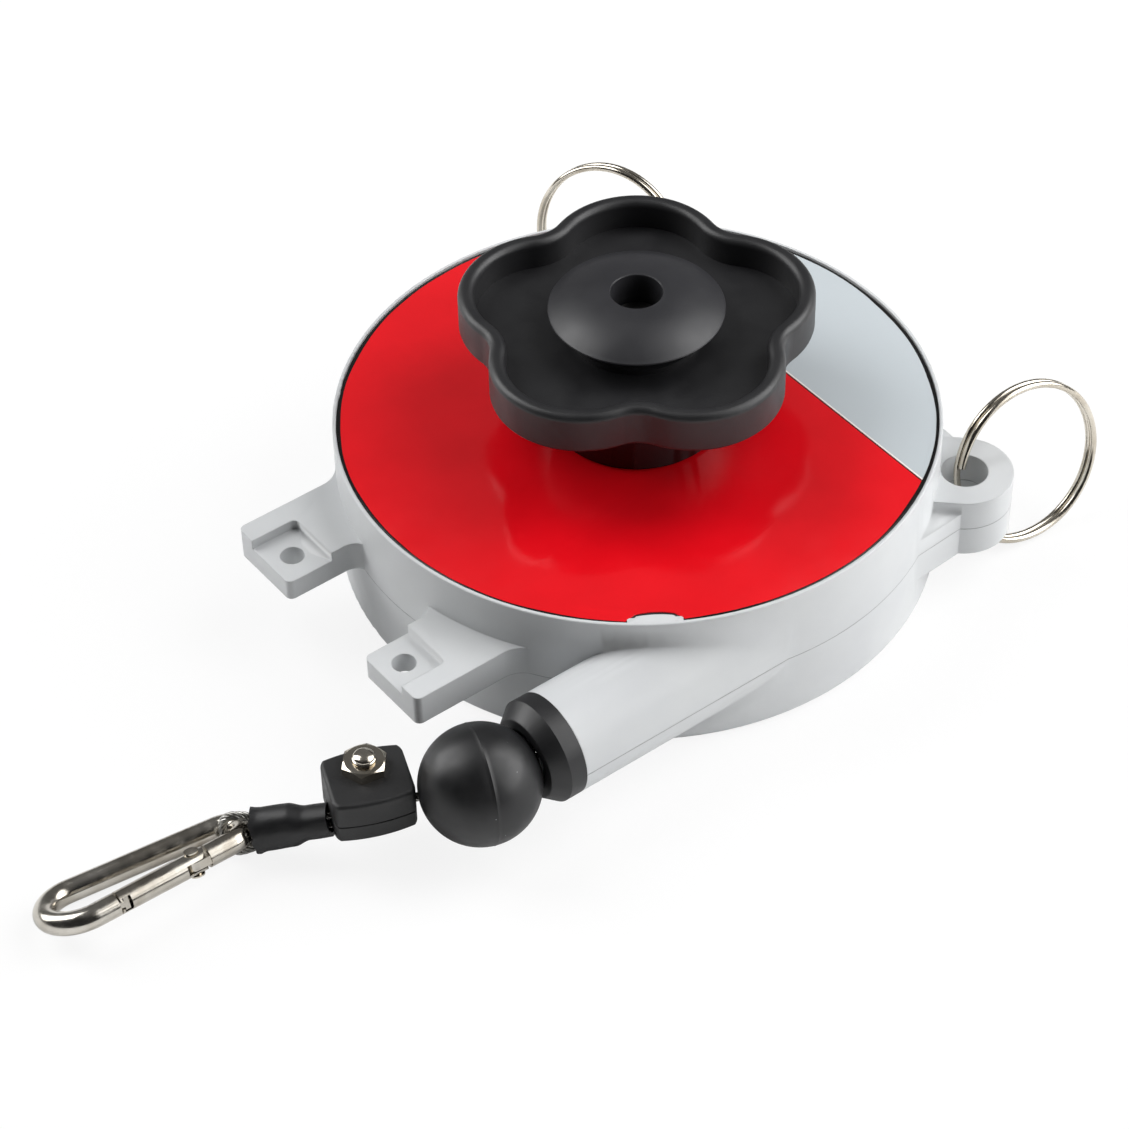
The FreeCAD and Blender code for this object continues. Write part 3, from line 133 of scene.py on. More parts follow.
@dataclass(frozen=True)
class Finish:
    """A real material and how its surface was made."""

    name: str
    colour: str
    shade: str
    roughness: float
    spread: float = 0.05
    grain_mm: float = 0.3
    depth_mm: float = 0.01
    cloud_mm: float = 14.0
    metallic: float = 0.0
    ior: float = 1.5
    edge_mm: float = 0.0

    def colouring(self, tree: bpy.types.NodeTree, place: Socket) -> Socket:
        """Builds the base colour: two tones that drift into each other.

        Args:
            tree: The material's node tree.
            place: The surface point.

        Returns:
            The colour output.
        """
        cloud = add(tree, "ShaderNodeTexNoise", {"Vector": place, "Scale": per_metre(self.cloud_mm), "Detail": 4.0})
        ramp = add(tree, "ShaderNodeMapRange", {"Value": cloud.outputs["Fac"], "From Min": CLOUD_LOW,
                                                "From Max": NOISE_HIGH})
        mix = add(tree, "ShaderNodeMix", {"Factor": ramp.outputs["Result"], "A": linear(self.colour),
                                          "B": linear(self.shade)}, data_type="RGBA")
        return mix.outputs["Result"]

    def relief(self, tree: bpy.types.NodeTree, place: Socket) -> Socket:
        """Builds the fine grain's height.

        Args:
            tree: The material's node tree.
            place: The surface point.

        Returns:
            The height output, nought to one.
        """
        grain = add(tree, "ShaderNodeTexNoise", {"Vector": place, "Scale": per_metre(self.grain_mm), "Detail": 3.0,
                                                 "Roughness": 0.6})
        return grain.outputs["Fac"]

    def gloss(self, tree: bpy.types.NodeTree, place: Socket) -> Socket:
        """Builds the roughness: handled and cleaner patches.

        Args:
            tree: The material's node tree.
            place: The surface point.

        Returns:
            The roughness output.
        """
        patch = add(tree, "ShaderNodeTexNoise", {"Vector": place, "Scale": per_metre(self.cloud_mm / 3),
                                                 "Detail": 5.0})
        spread = add(tree, "ShaderNodeMapRange", {"Value": patch.outputs["Fac"], "From Min": NOISE_LOW,
                                                  "From Max": NOISE_HIGH,
                                                  "To Min": self.roughness - self.spread,
                                                  "To Max": self.roughness + self.spread})
        return spread.outputs["Result"]

    def build(self) -> bpy.types.Material:
        """Makes the material, or gives the one already made."""
        made = bpy.data.materials.get(self.name)
        if made is not None:
            return made
        material = bpy.data.materials.new(self.name)
        material.use_nodes = True
        tree = material.node_tree
        tree.nodes.clear()
        place = add(tree, "ShaderNodeTexCoord").outputs["Object"]
        bump = add(tree, "ShaderNodeBump", {"Height": self.relief(tree, place), "Distance": self.depth_mm * MM,
                                            "Strength": 1.0})
        if self.edge_mm:
            edge = add(tree, "ShaderNodeBevel", {"Radius": self.edge_mm * MM}, samples=BEVEL_SAMPLES)
            tree.links.new(edge.outputs["Normal"], bump.inputs["Normal"])
        shader = add(tree, "ShaderNodeBsdfPrincipled", {
            "Base Color": self.colouring(tree, place), "Roughness": self.gloss(tree, place),
            "Metallic": self.metallic, "Normal": bump.outputs["Normal"]})
        if not self.metallic:
            shader.inputs["IOR"].default_value = self.ior
        add(tree, "ShaderNodeOutputMaterial", {"Surface": shader.outputs["BSDF"]})
        return material


@dataclass(frozen=True)
class PrintedFilm(Finish):
    """Polyester film printed on its back: a red field, a pale grey end, and a fine double line between, with a band of
    painted shade round its edge.
    """

    end_colour: str = "#B9C0C4"
    line_colour: str = "#E9E4E0"
    dark_colour: str = "#5A1A1C"
    line_x_mm: float = 27.4
    line_mm: float = 0.32
    # Painted shade: a dark, wavering band round the film's edge that stands for the shadow in the gap round the plate.
    edge_shade_mm: float = 52.62
    edge_shade_stray_mm: float = 0.22
    edge_shade_drift_mm: float = 22.0
    edge_shade_colour: str = "#100C0C"

    def edge_shade(self, tree: bpy.types.NodeTree, place: Socket) -> Socket:
        """Builds the mask of the painted shade round the rim, whose inner edge wavers.

        Args:
            tree: The material's node tree.
            place: The surface point.

        Returns:
            One in the line and nought elsewhere.
        """
        flat = add(tree, "ShaderNodeVectorMath", {0: place, 1: (1.0, 1.0, 0.0)}, operation="MULTIPLY")
        reach = add(tree, "ShaderNodeVectorMath", {0: flat.outputs["Vector"]}, operation="LENGTH").outputs["Value"]
        drift = add(tree, "ShaderNodeTexNoise", {"Vector": place, "Scale": per_metre(self.edge_shade_drift_mm), "Detail": 2.0})
        stray = add(tree, "ShaderNodeMapRange", {"Value": drift.outputs["Fac"], "From Min": NOISE_LOW,
                                                 "From Max": NOISE_HIGH,
                                                 "To Min": (self.edge_shade_mm - self.edge_shade_stray_mm) * MM,
                                                 "To Max": (self.edge_shade_mm + self.edge_shade_stray_mm) * MM})
        return add(tree, "ShaderNodeMath", {0: reach, 1: stray.outputs["Result"]},
                   operation="GREATER_THAN").outputs["Value"]

    def colouring(self, tree: bpy.types.NodeTree, place: Socket) -> Socket:
        """Builds the print, by the distance across the plate, with painted shade round its rim.

        Args:
            tree: The material's node tree.
            place: The surface point.

        Returns:
            The colour output.
        """
        across = add(tree, "ShaderNodeSeparateXYZ", {"Vector": place}).outputs["X"]
        field_colour = super().colouring(tree, place)
        for start, code in ((self.line_x_mm - self.line_mm, self.dark_colour), (self.line_x_mm, self.line_colour),
                            (self.line_x_mm + self.line_mm, self.end_colour)):
            past = add(tree, "ShaderNodeMath", {0: across, 1: start * MM}, operation="GREATER_THAN")
            mix = add(tree, "ShaderNodeMix", {"Factor": past.outputs["Value"], "A": field_colour,
                                              "B": linear(code)}, data_type="RGBA")
            field_colour = mix.outputs["Result"]
        # Painted shade: the band round the rim is darkened.
        rim = add(tree, "ShaderNodeMix", {"Factor": self.edge_shade(tree, place), "A": field_colour,
                                          "B": linear(self.edge_shade_colour)}, data_type="RGBA")
        return rim.outputs["Result"]


@dataclass(frozen=True)
class SeamedPlastic(Finish):
    """Moulded plastic in two halves, with a hairline where the halves meet."""

    seam_z_mm: float = 14.0
    seam_half_mm: float = 0.09
    seam_core: float = 0.3
    seam_colour: str = "#7E8183"

    def off_seam(self, tree: bpy.types.NodeTree, place: Socket) -> Socket:
        """Builds the mask that leaves out the hairline.

        Args:
            tree: The material's node tree.
            place: The surface point.

        Returns:
            Nought in the hairline and one elsewhere.
        """
        height = add(tree, "ShaderNodeSeparateXYZ", {"Vector": place}).outputs["Z"]
        off = add(tree, "ShaderNodeMath", {0: height, 1: self.seam_z_mm * MM}, operation="SUBTRACT")
        far = add(tree, "ShaderNodeMath", {0: off.outputs["Value"]}, operation="ABSOLUTE")
        return add(tree, "ShaderNodeMapRange", {"Value": far.outputs["Value"],
                                                "From Min": self.seam_core * self.seam_half_mm * MM,
                                                "From Max": self.seam_half_mm * MM}).outputs["Result"]

    def colouring(self, tree: bpy.types.NodeTree, place: Socket) -> Socket:
        """Builds the plastic's tone, darker in the hairline.

        Args:
            tree: The material's node tree.
            place: The surface point.

        Returns:
            The colour output.
        """
        mix = add(tree, "ShaderNodeMix", {"Factor": self.off_seam(tree, place), "A": linear(self.seam_colour),
                                          "B": super().colouring(tree, place)}, data_type="RGBA")
        return mix.outputs["Result"]


@dataclass(frozen=True)
class DrawnMetal(Finish):
    """Metal with fine polishing lines, tarnish in patches."""

    line_mm: float = 0.12
    stretch: float = 14.0

    def relief(self, tree: bpy.types.NodeTree, place: Socket) -> Socket:
        """Builds the polishing lines' height: noise drawn out along the rod.

        Args:
            tree: The material's node tree.
            place: The surface point.

        Returns:
            The height output, nought to one.
        """
        mapping = add(tree, "ShaderNodeMapping", {"Vector": place, "Scale": (1.0 / self.stretch, 1.0, 1.0)})
        lines = add(tree, "ShaderNodeTexNoise", {"Vector": mapping.outputs["Vector"],
                                                 "Scale": per_metre(self.line_mm), "Detail": 2.0})
        return lines.outputs["Fac"]


@dataclass(frozen=True)
class SpeckledRubber(Finish):
    """Moulded rubber with a few dust specks on its bloom."""

    speck_mm: float = 2.6
    speck_size: float = 0.035
    speck_colour: str = "#8E8F92"

    def colouring(self, tree: bpy.types.NodeTree, place: Socket) -> Socket:
        """Builds the rubber's tone with sparse pale specks.

        Args:
            tree: The material's node tree.
            place: The surface point.

        Returns:
            The colour output.
        """
        cell = add(tree, "ShaderNodeTexVoronoi", {"Vector": place, "Scale": per_metre(self.speck_mm)})
        near = add(tree, "ShaderNodeMath", {0: cell.outputs["Distance"], 1: self.speck_size}, operation="LESS_THAN")
        mix = add(tree, "ShaderNodeMix", {"Factor": near.outputs["Value"], "A": super().colouring(tree, place),
                                          "B": linear(self.speck_colour)}, data_type="RGBA")
        return mix.outputs["Result"]


@dataclass(frozen=True)
class TwistedRope(Finish):
    """Galvanised wire rope whose strands show as slanting ridges round the line of the lead."""

    lay_mm: float = 7.0
    strands: int = 6
    axis_y_mm: float = -43.8
    axis_z_mm: float = 14.0

    def relief(self, tree: bpy.types.NodeTree, place: Socket) -> Socket:
        """Builds the strands' height from the turn round the line and the way along it.

        Args:
            tree: The material's node tree.
            place: The surface point.

        Returns:
            The height output, less than one from nought either way.
        """
        axes = add(tree, "ShaderNodeSeparateXYZ", {"Vector": place}).outputs
        dy = add(tree, "ShaderNodeMath", {0: axes["Y"], 1: self.axis_y_mm * MM}, operation="SUBTRACT")
        dz = add(tree, "ShaderNodeMath", {0: axes["Z"], 1: self.axis_z_mm * MM}, operation="SUBTRACT")
        turn = add(tree, "ShaderNodeMath", {0: dz.outputs["Value"], 1: dy.outputs["Value"]}, operation="ARCTAN2")
        along = add(tree, "ShaderNodeMath", {0: axes["X"], 1: FULL_TURN / (self.lay_mm * MM)}, operation="MULTIPLY")
        both = add(tree, "ShaderNodeMath", {0: turn.outputs["Value"], 1: along.outputs["Value"]}, operation="ADD")
        wave = add(tree, "ShaderNodeMath", {0: both.outputs["Value"], 1: float(self.strands)}, operation="MULTIPLY")
        return add(tree, "ShaderNodeMath", {0: wave.outputs["Value"]}, operation="COSINE").outputs["Value"]


# ABS, injection moulded with a fine satin grain: an even pale grey that rounds softly at its edges.
CASE = SeamedPlastic("moulded_abs_light_grey", "#CBCDCE", "#C6C8CA", 0.4, grain_mm=0.35, depth_mm=0.006, edge_mm=0.35)
# Polyester film, printed and bonded: the ink lies under a glossy, very slightly rippled face.
FILM = PrintedFilm("printed_polyester_film", "#E10D1A", "#D80B17", 0.15, 0.03, grain_mm=2.5, depth_mm=0.006, ior=1.57)
# Painted shade: a thin black ring set in the gap all round the film, standing for the shadow in that gap.
GAP_SHADE = Finish("painted_gap_shade", "#0B0B0C", "#141414", 0.6)
# Glass-filled nylon, moulded in a spark-eroded tool: black, with an even grain that breaks up highlights.
NYLON = Finish("spark_grained_nylon_black", "#1B1B1D", "#151517", 0.46, grain_mm=0.3, depth_mm=0.012, ior=1.53)
# Acetal, moulded in a finer tool: smoother, with a wide soft highlight.
ACETAL = Finish("fine_grained_acetal_black", "#29292C", "#232326", 0.42, grain_mm=0.25, depth_mm=0.006, ior=1.48)
# ABS, moulded coarse: black, duller, with small pits.
CLAMP_ABS = SpeckledRubber("coarse_moulded_abs_black", "#1A1A1B", "#131314", 0.5, grain_mm=0.4, depth_mm=0.02,
                           edge_mm=0.3, speck_mm=4.0)
# Nitrile rubber, pressed in a polished mould: satin black with a slight bloom.
RUBBER = SpeckledRubber("pressed_nitrile_rubber", "#0D0D0F", "#121214", 0.44, 0.08, grain_mm=0.5, depth_mm=0.004,
                        ior=1.52)
# Polyolefin tube, shrunk on hot: satin black, dragged into soft ripples.
SHRINK = Finish("shrunk_polyolefin_tube", "#161618", "#101012", 0.48, 0.06, grain_mm=0.9, depth_mm=0.03, ior=1.5)
# Steel, bright nickel plated: warm white metal with sharp reflections.
NICKEL = DrawnMetal("bright_nickel_plated_steel", "#D8D2C6", "#B7AE9F", 0.16, 0.05, depth_mm=0.001, cloud_mm=5.0,
                    metallic=1.0)
# Stainless rod, tumbled and polished: slightly greyer, with faint lines along it.
STAINLESS = DrawnMetal("polished_stainless_rod", "#C9C5BD", "#A39C90", 0.2, 0.07, depth_mm=0.002, cloud_mm=6.0,
                       metallic=1.0)
# Steel, turned and oiled: dark grey metal with tool marks.
TURNED = DrawnMetal("oiled_turned_steel", "#6E6D6C", "#4B4A49", 0.34, 0.08, line_mm=0.3, depth_mm=0.004, metallic=1.0)
# Spring steel, tempered blue.
BLUED = DrawnMetal("blued_spring_steel", "#5C6472", "#3D424D", 0.3, 0.06, depth_mm=0.002, metallic=1.0)
# Bronze, sintered and full of oil: open brown grain.
BRONZE = Finish("sintered_bronze", "#9C7240", "#6F4E2B", 0.5, 0.1, grain_mm=0.2, depth_mm=0.015, metallic=1.0)
# Nylon with glass, left its natural colour: milky, faintly streaked.
NATURAL = Finish("natural_filled_nylon", "#D9D4C4", "#C9C3B2", 0.48, grain_mm=0.6, depth_mm=0.01, ior=1.53)
# Aluminium, crimped: soft, bright and scuffed.
ALUMINIUM = Finish("crimped_soft_aluminium", "#C9CACC", "#9B9DA0", 0.34, 0.12, grain_mm=0.25, depth_mm=0.02,
                   cloud_mm=2.0, metallic=1.0)
# Steel wire, galvanised and drawn: dull silver.
WIRE = DrawnMetal("galvanised_drawn_wire", "#B9B8B4", "#83827E", 0.32, 0.1, depth_mm=0.002, cloud_mm=2.0,
                  metallic=1.0)
# The same wire laid up in a rope, drawn as ridges because the strands are too fine to model along its whole travel.
ROPE = TwistedRope("laid_galvanised_rope", "#A9A8A4", "#7A7975", 0.36, 0.1, depth_mm=0.12, cloud_mm=2.0, metallic=1.0)


def new_piece(bm: bmesh.types.BMesh, name: str, body: str, finish: Finish,
              angle: float = SMOOTH_ANGLE) -> Object:
    """Turns a finished bmesh into a piece that rides on a body.

    Args:
        bm: The mesh, in the row frame; it is freed.
        name: The piece's name.
        body: The body that it moves with, or nothing for a piece that is attached to no body.
        finish: Its material.
        angle: Edges sharper than this stay crisp.

    Returns:
        The new object.
    """
    mesh = bpy.data.meshes.new(name)
    bm.to_mesh(mesh)
    bm.free()
    mesh.shade_smooth()
    mesh.set_sharp_from_angle(angle=angle)
    mesh.materials.append(finish.build())
    piece = bpy.data.objects.new(name, mesh)
    bpy.context.scene.collection.objects.link(piece)
    if body:
        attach(piece, body)
    LOG.info("%s: %d faces on %s", name, len(mesh.polygons), body)
    return piece


def lathe(profile: Profile, steps: int, close: bool = True) -> bmesh.types.BMesh:
    """Spins a profile of radius and height about Z.

    Args:
        profile: Radius and height, in metres.
        steps: Faces round.
        close: Whether the profile's end joins its start.

    Returns:
        The spun mesh.
    """
    bm = bmesh.new()
    points = [bm.verts.new((radius, 0.0, height)) for radius, height in profile]
    pairs = list(zip(points, points[1:]))
    if close:
        pairs.append((points[-1], points[0]))
    edges = [bm.edges.new(pair) for pair in pairs]
    bmesh.ops.spin(bm, geom=points + edges, cent=(0, 0, 0), axis=(0, 0, 1), angle=FULL_TURN, steps=steps,
                   use_merge=True)
    bmesh.ops.remove_doubles(bm, verts=bm.verts, dist=MERGE)
    bmesh.ops.recalc_face_normals(bm, faces=bm.faces)
    return bm


def place_on(bm: bmesh.types.BMesh, base: Vector, direction: Vector, across: Vector) -> bmesh.types.BMesh:
    """Moves a mesh drawn about Z so that Z follows a direction from a base point.

    Args:
        bm: The mesh.
        base: Where its origin goes.
        direction: Where its Z goes.
        across: Where its X goes, roughly.

    Returns:
        The same mesh.
    """
    z = direction.normalized()
    y = z.cross(across).normalized()
    x = y.cross(z)
    turn = Matrix((x, y, z)).transposed().to_4x4()
    bmesh.ops.transform(bm, matrix=Matrix.Translation(base) @ turn, verts=bm.verts)
    return bm


def dressed_copy(node: str, name: str, body: str, finish: Finish, angle: float = SMOOTH_ANGLE) -> Object:
    """Makes a smooth-shaded copy of a CAD node that stands for it.

    Args:
        node: The CAD node.
        name: The copy's name.
        body: The body that it moves with.
        finish: Its material.
        angle: Edges sharper than this stay crisp.

    Returns:
        The new object.
    """
    bm = bmesh.new()
    bm.from_mesh(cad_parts[node].data)
    bmesh.ops.remove_doubles(bm, verts=bm.verts, dist=MERGE)
    bmesh.ops.dissolve_limit(bm, angle_limit=FLAT_ANGLE, verts=bm.verts, edges=bm.edges)
    piece = new_piece(bm, name, body, finish, angle)
    weighted = piece.modifiers.new("even_normals", "WEIGHTED_NORMAL")
    weighted.keep_sharp = True
    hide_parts(node)
    return piece


def own(x: float, y: float, z: float, scale: float = 1.0) -> Vector:
    """Makes a dataclass field that gives each object its own vector."""
    return field(default_factory=lambda: Vector((x, y, z)) * scale)


def middle(node: str) -> Vector:
    """Gives the middle of a CAD node's box."""
    low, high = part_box(node)
    return (low + high) / 2


def smooth(share: float) -> float:
    """Eases a share, held between nought and one."""
    held = min(max(share, 0.0), 1.0)
    return held * held * (3 - 2 * held)


def sliced(bm: bmesh.types.BMesh, cuts: int, depth: float = 1.0) -> bmesh.types.BMesh:
    """Cuts a shape that stands about the origin into even slices along Z.

    Args:
        bm: The mesh.
        cuts: How many slices.
        depth: Its height.

    Returns:
        The same mesh.
    """
    for i in range(1, cuts):
        bmesh.ops.bisect_plane(bm, geom=list(bm.verts) + list(bm.edges) + list(bm.faces),
                               plane_co=(0, 0, depth * (i / cuts - 0.5)), plane_no=(0, 0, 1))
    return bm


def dress(finish: Finish, *nodes: str) -> None:
    """Gives CAD nodes a finish.

    Args:
        finish: The material.
        *nodes: The nodes' names.
    """
    for name in nodes:
        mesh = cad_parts[name].data
        mesh.materials.clear()
        mesh.materials.append(finish.build())


@dataclass
class Housing:
    """The two case halves, the printed plate and what is fixed in them."""

    plate_r: float = 53.0 * MM
    recess_r: float = 53.35 * MM
    well_r: float = 15.2 * MM
    plate_low: float = 27.5 * MM
    plate_top: float = 28.3 * MM
    film_rise: float = 0.02 * MM
    # The ring of painted shade in the gap round the plate lies between these two heights.
    gap_shade_low: float = 27.55 * MM
    gap_shade_top: float = 28.14 * MM
    key_angle: float = math.radians(-125.0)
    key_out: float = 5.3 * MM
    key_in: float = 3.3 * MM
    key_depth: float = 1.95 * MM
    notch_bow: float = 0.45 * MM
    key_bow: float = 0.3 * MM
    key_gap: float = 0.36 * MM
    key_sink: float = 0.2 * MM
    # Clearances and waver of the ring of painted shade in the gap round the plate.
    gap_shade_clear: float = 0.02 * MM
    gap_shade_rim_clear: float = 0.08 * MM
    gap_shade_key_clear: float = 0.42 * MM
    gap_shade_wobble: float = 0.12 * MM
    film_edge: float = 0.1 * MM
    key_edge: float = 0.15 * MM
    rim_steps: int = 360
    notch_steps: int = 12
    key_steps: int = 8

    def build(self) -> None:
        """Builds and dresses the housing."""
        dressed_copy("rear_housing", "rear_shell", "housing", CASE)
        dressed_copy("front_housing", "front_shell", "housing", CASE)
        self.face()
        self.shade_the_gap()
        self.key()
        dress(TURNED, "housing_screws", "index_ring")
        dress(BRONZE, "rear_arbor_bush", "front_arbor_bush")
        dressed_copy("outlet_bush", "outlet_funnel", "housing", NYLON)

    def outline(self, radius: float, grow: float, wobble: float = 0.0) -> list[Vector]:
        """Gives the plate's outline with its key notch.

        Args:
            radius: The outline's radius.
            grow: How much wider than the notch the cut is, on each side; less than nought is narrower.
            wobble: How far the edge strays.

        Returns:
            Points round the outline.
        """
        points = []
        half = math.asin((self.key_out + grow) / radius)
        for i in range(self.rim_steps + 1):
            angle = half + (FULL_TURN - 2 * half) * i / self.rim_steps
            reach = radius + wobble * noise.noise(Vector((math.cos(angle), math.sin(angle), 0.3)) * 9)
            points.append(Vector((reach * math.cos(angle), reach * math.sin(angle), 0)))
        inner_r = self.plate_r - self.key_depth - grow
        inner = self.key_in + grow
        for i in range(self.notch_steps + 1):
            share = i / self.notch_steps * 2 - 1
            bow = self.notch_bow * (1 - share * share)
            points.append(Vector((inner_r - bow, inner * share, 0)))
        return [Matrix.Rotation(self.key_angle, 3, "Z") @ p for p in points]

    def slab(self, points: list[Vector], low: float, high: float, hole: float = 0.0) -> bmesh.types.BMesh:
        """Raises an outline into a slab.

        Args:
            points: The outline.
            low: Its underside.
            high: Its top.
            hole: The radius of a round hole in its middle, or nought.

        Returns:
            The slab.
        """
        bm = bmesh.new()
        rim = [bm.verts.new((p.x, p.y, low)) for p in points]
        edges = [bm.edges.new(pair) for pair in zip(rim, rim[1:] + rim[:1])]
        if hole:
            made = bmesh.ops.create_circle(bm, segments=180, radius=hole, matrix=Matrix.Translation((0, 0, low)))
            edges += [e for v in made["verts"] for e in v.link_edges]
            bmesh.ops.triangle_fill(bm, use_beauty=True, edges=list(dict.fromkeys(edges)))
        else:
            bmesh.ops.contextual_create(bm, geom=edges)
        bmesh.ops.recalc_face_normals(bm, faces=bm.faces)
        raised = bmesh.ops.extrude_face_region(bm, geom=list(bm.faces))["geom"]
        bmesh.ops.translate(bm, verts=[g for g in raised if isinstance(g, bmesh.types.BMVert)], vec=(0, 0, high - low))
        bmesh.ops.recalc_face_normals(bm, faces=bm.faces)
        return bm

    def face(self) -> None:
        """Builds the printed plate, its upper edge just broken."""
        top = self.plate_top + self.film_rise
        bm = self.slab(self.outline(self.plate_r, 0.0), self.plate_low, top, self.well_r)
        bmesh.ops.dissolve_limit(bm, angle_limit=FLAT_ANGLE, verts=bm.verts, edges=bm.edges)
        rim = [e for e in bm.edges if all(v.co.z > top - MERGE for v in e.verts) and e.calc_face_angle(0) > 1]
        bmesh.ops.bevel(bm, geom=rim, offset=self.film_edge, offset_type="OFFSET", segments=2, profile=0.5,
                        affect="EDGES", clamp_overlap=True, material=-1)
        piece = new_piece(bm, "printed_face_plate", "housing", FILM)
        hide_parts("face_plate")

    def shade_the_gap(self) -> None:
        """Builds a black ring of painted shade in the gap round the plate, its outer edge wavering."""
        inside = self.outline(self.plate_r + self.gap_shade_clear, 2 * self.gap_shade_clear)
        outside = self.outline(self.recess_r - self.gap_shade_rim_clear, -self.gap_shade_key_clear, self.gap_shade_wobble)
        bm = bmesh.new()
        rings = []
        for points in (inside, outside):
            rim = [bm.verts.new((p.x, p.y, self.gap_shade_low)) for p in points]
            rings.append([bm.edges.new(pair) for pair in zip(rim, rim[1:] + rim[:1])])
        bmesh.ops.bridge_loops(bm, edges=rings[0] + rings[1])
        bmesh.ops.recalc_face_normals(bm, faces=bm.faces)
        raised = bmesh.ops.extrude_face_region(bm, geom=list(bm.faces))["geom"]
        bmesh.ops.translate(bm, verts=[g for g in raised if isinstance(g, bmesh.types.BMVert)],
                            vec=(0, 0, self.gap_shade_top - self.gap_shade_low))
        bmesh.ops.recalc_face_normals(bm, faces=bm.faces)
        new_piece(bm, "plate_gap_painted_shade", "housing", GAP_SHADE)

    def key(self) -> None:
        """Builds the case's key in the plate's notch, its ends sloped and its corners soft."""
        out = self.recess_r + self.key_sink
        inner_r = self.plate_r - self.key_depth + self.key_gap
        half_out, half_in = self.key_out - self.key_gap, self.key_in - self.key_gap / 2
        points = []
        for i in range(self.key_steps + 1):
            share = i / self.key_steps * 2 - 1
            points.append(Vector((inner_r - self.key_bow * (1 - share * share), half_in * share, 0)))
        for i in range(self.key_steps + 1):
            angle = math.asin(half_out / out) * (1 - 2 * i / self.key_steps)
            points.append(Vector((out * math.cos(angle), out * math.sin(angle), 0)))
        turn = Matrix.Rotation(self.key_angle, 3, "Z")
        top = self.plate_top + self.film_rise
        bm = self.slab([turn @ p for p in points], self.plate_low, top)
        rim = [e for e in bm.edges if all(v.co.z > top - MERGE for v in e.verts)]
        bmesh.ops.bevel(bm, geom=rim, offset=self.key_edge, offset_type="OFFSET", segments=3, profile=0.5,
                        affect="EDGES", clamp_overlap=True, material=-1)
        new_piece(bm, "plate_key", "housing", CASE)


@dataclass
class Reel:
    """The drum, its spring and the arbor inside the housing."""

    def build(self) -> None:
        """Dresses the inner pieces."""
        dress(NATURAL, "drum", "drum_cover")
        dress(BRONZE, "drum_rear_bush", "drum_front_bush")
        dress(BLUED, "main_spring", "knob_spring")
        dress(WIRE, "cable_wound")
        dress(ALUMINIUM, "cable_nipple")
        dress(TURNED, "arbor_shaft", "cap_screw")


@dataclass
class TensionKnob:
    """The lobed knob and the domed cap over its spring."""

    dome_r: float = 15.4 * MM
    edge_z: float = 52.2 * MM
    edge_t: float = 0.7 * MM
    rise: float = 3.5 * MM
    hole_r: float = 4.5 * MM
    boss_r: float = 6.6 * MM
    seat_z: float = 46.2 * MM
    web_z: float = 47.8 * MM
    bore_r: float = 2.7 * MM
    arc_steps: int = 24
    round_steps: int = 120
    # Millimetres out from the hole and down from the top, then in from the outer edge and up from its middle.
    bead: Profile = field(default_factory=lambda: [(0.0, 0.5), (0.03, 0.16), (0.1, 0.05), (0.22, 0.005),
                                                   (0.34, 0.03)])
    edge: Profile = field(default_factory=lambda: [(0.1, 0.12), (0.0, -0.05), (0.15, -0.28), (0.4, -0.34)])

    def build(self) -> None:
        """Builds and dresses the knob and cap."""
        dressed_copy("knob", "lobed_knob", "knob", NYLON)
        self.dome()

    def dome(self) -> None:
        """Builds the cap with a soft outer edge and a small bead round its hole."""
        top = self.edge_z + self.rise
        span = self.dome_r - self.hole_r
        ball = (span**2 + self.rise**2) / (2 * self.rise)
        sweep = math.asin(span / ball)
        arc = [(self.hole_r + ball * math.sin(sweep * i / self.arc_steps),
                top - ball * (1 - math.cos(sweep * i / self.arc_steps))) for i in range(2, self.arc_steps)]
        bead = [(self.hole_r + out * MM, top - drop * MM) for out, drop in self.bead]
        edge = [(self.dome_r - inset * MM, self.edge_z + rise * MM) for inset, rise in self.edge]
        low = self.edge_z - self.edge_t / 2
        under = [(self.boss_r, low), (self.boss_r, self.seat_z), (self.bore_r, self.seat_z), (self.bore_r, self.web_z),
                 (self.hole_r, self.web_z)]
        bm = lathe(bead + arc + edge + under, self.round_steps)
        piece = new_piece(bm, "domed_cap", "arbor", ACETAL)
        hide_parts("dome_cap")


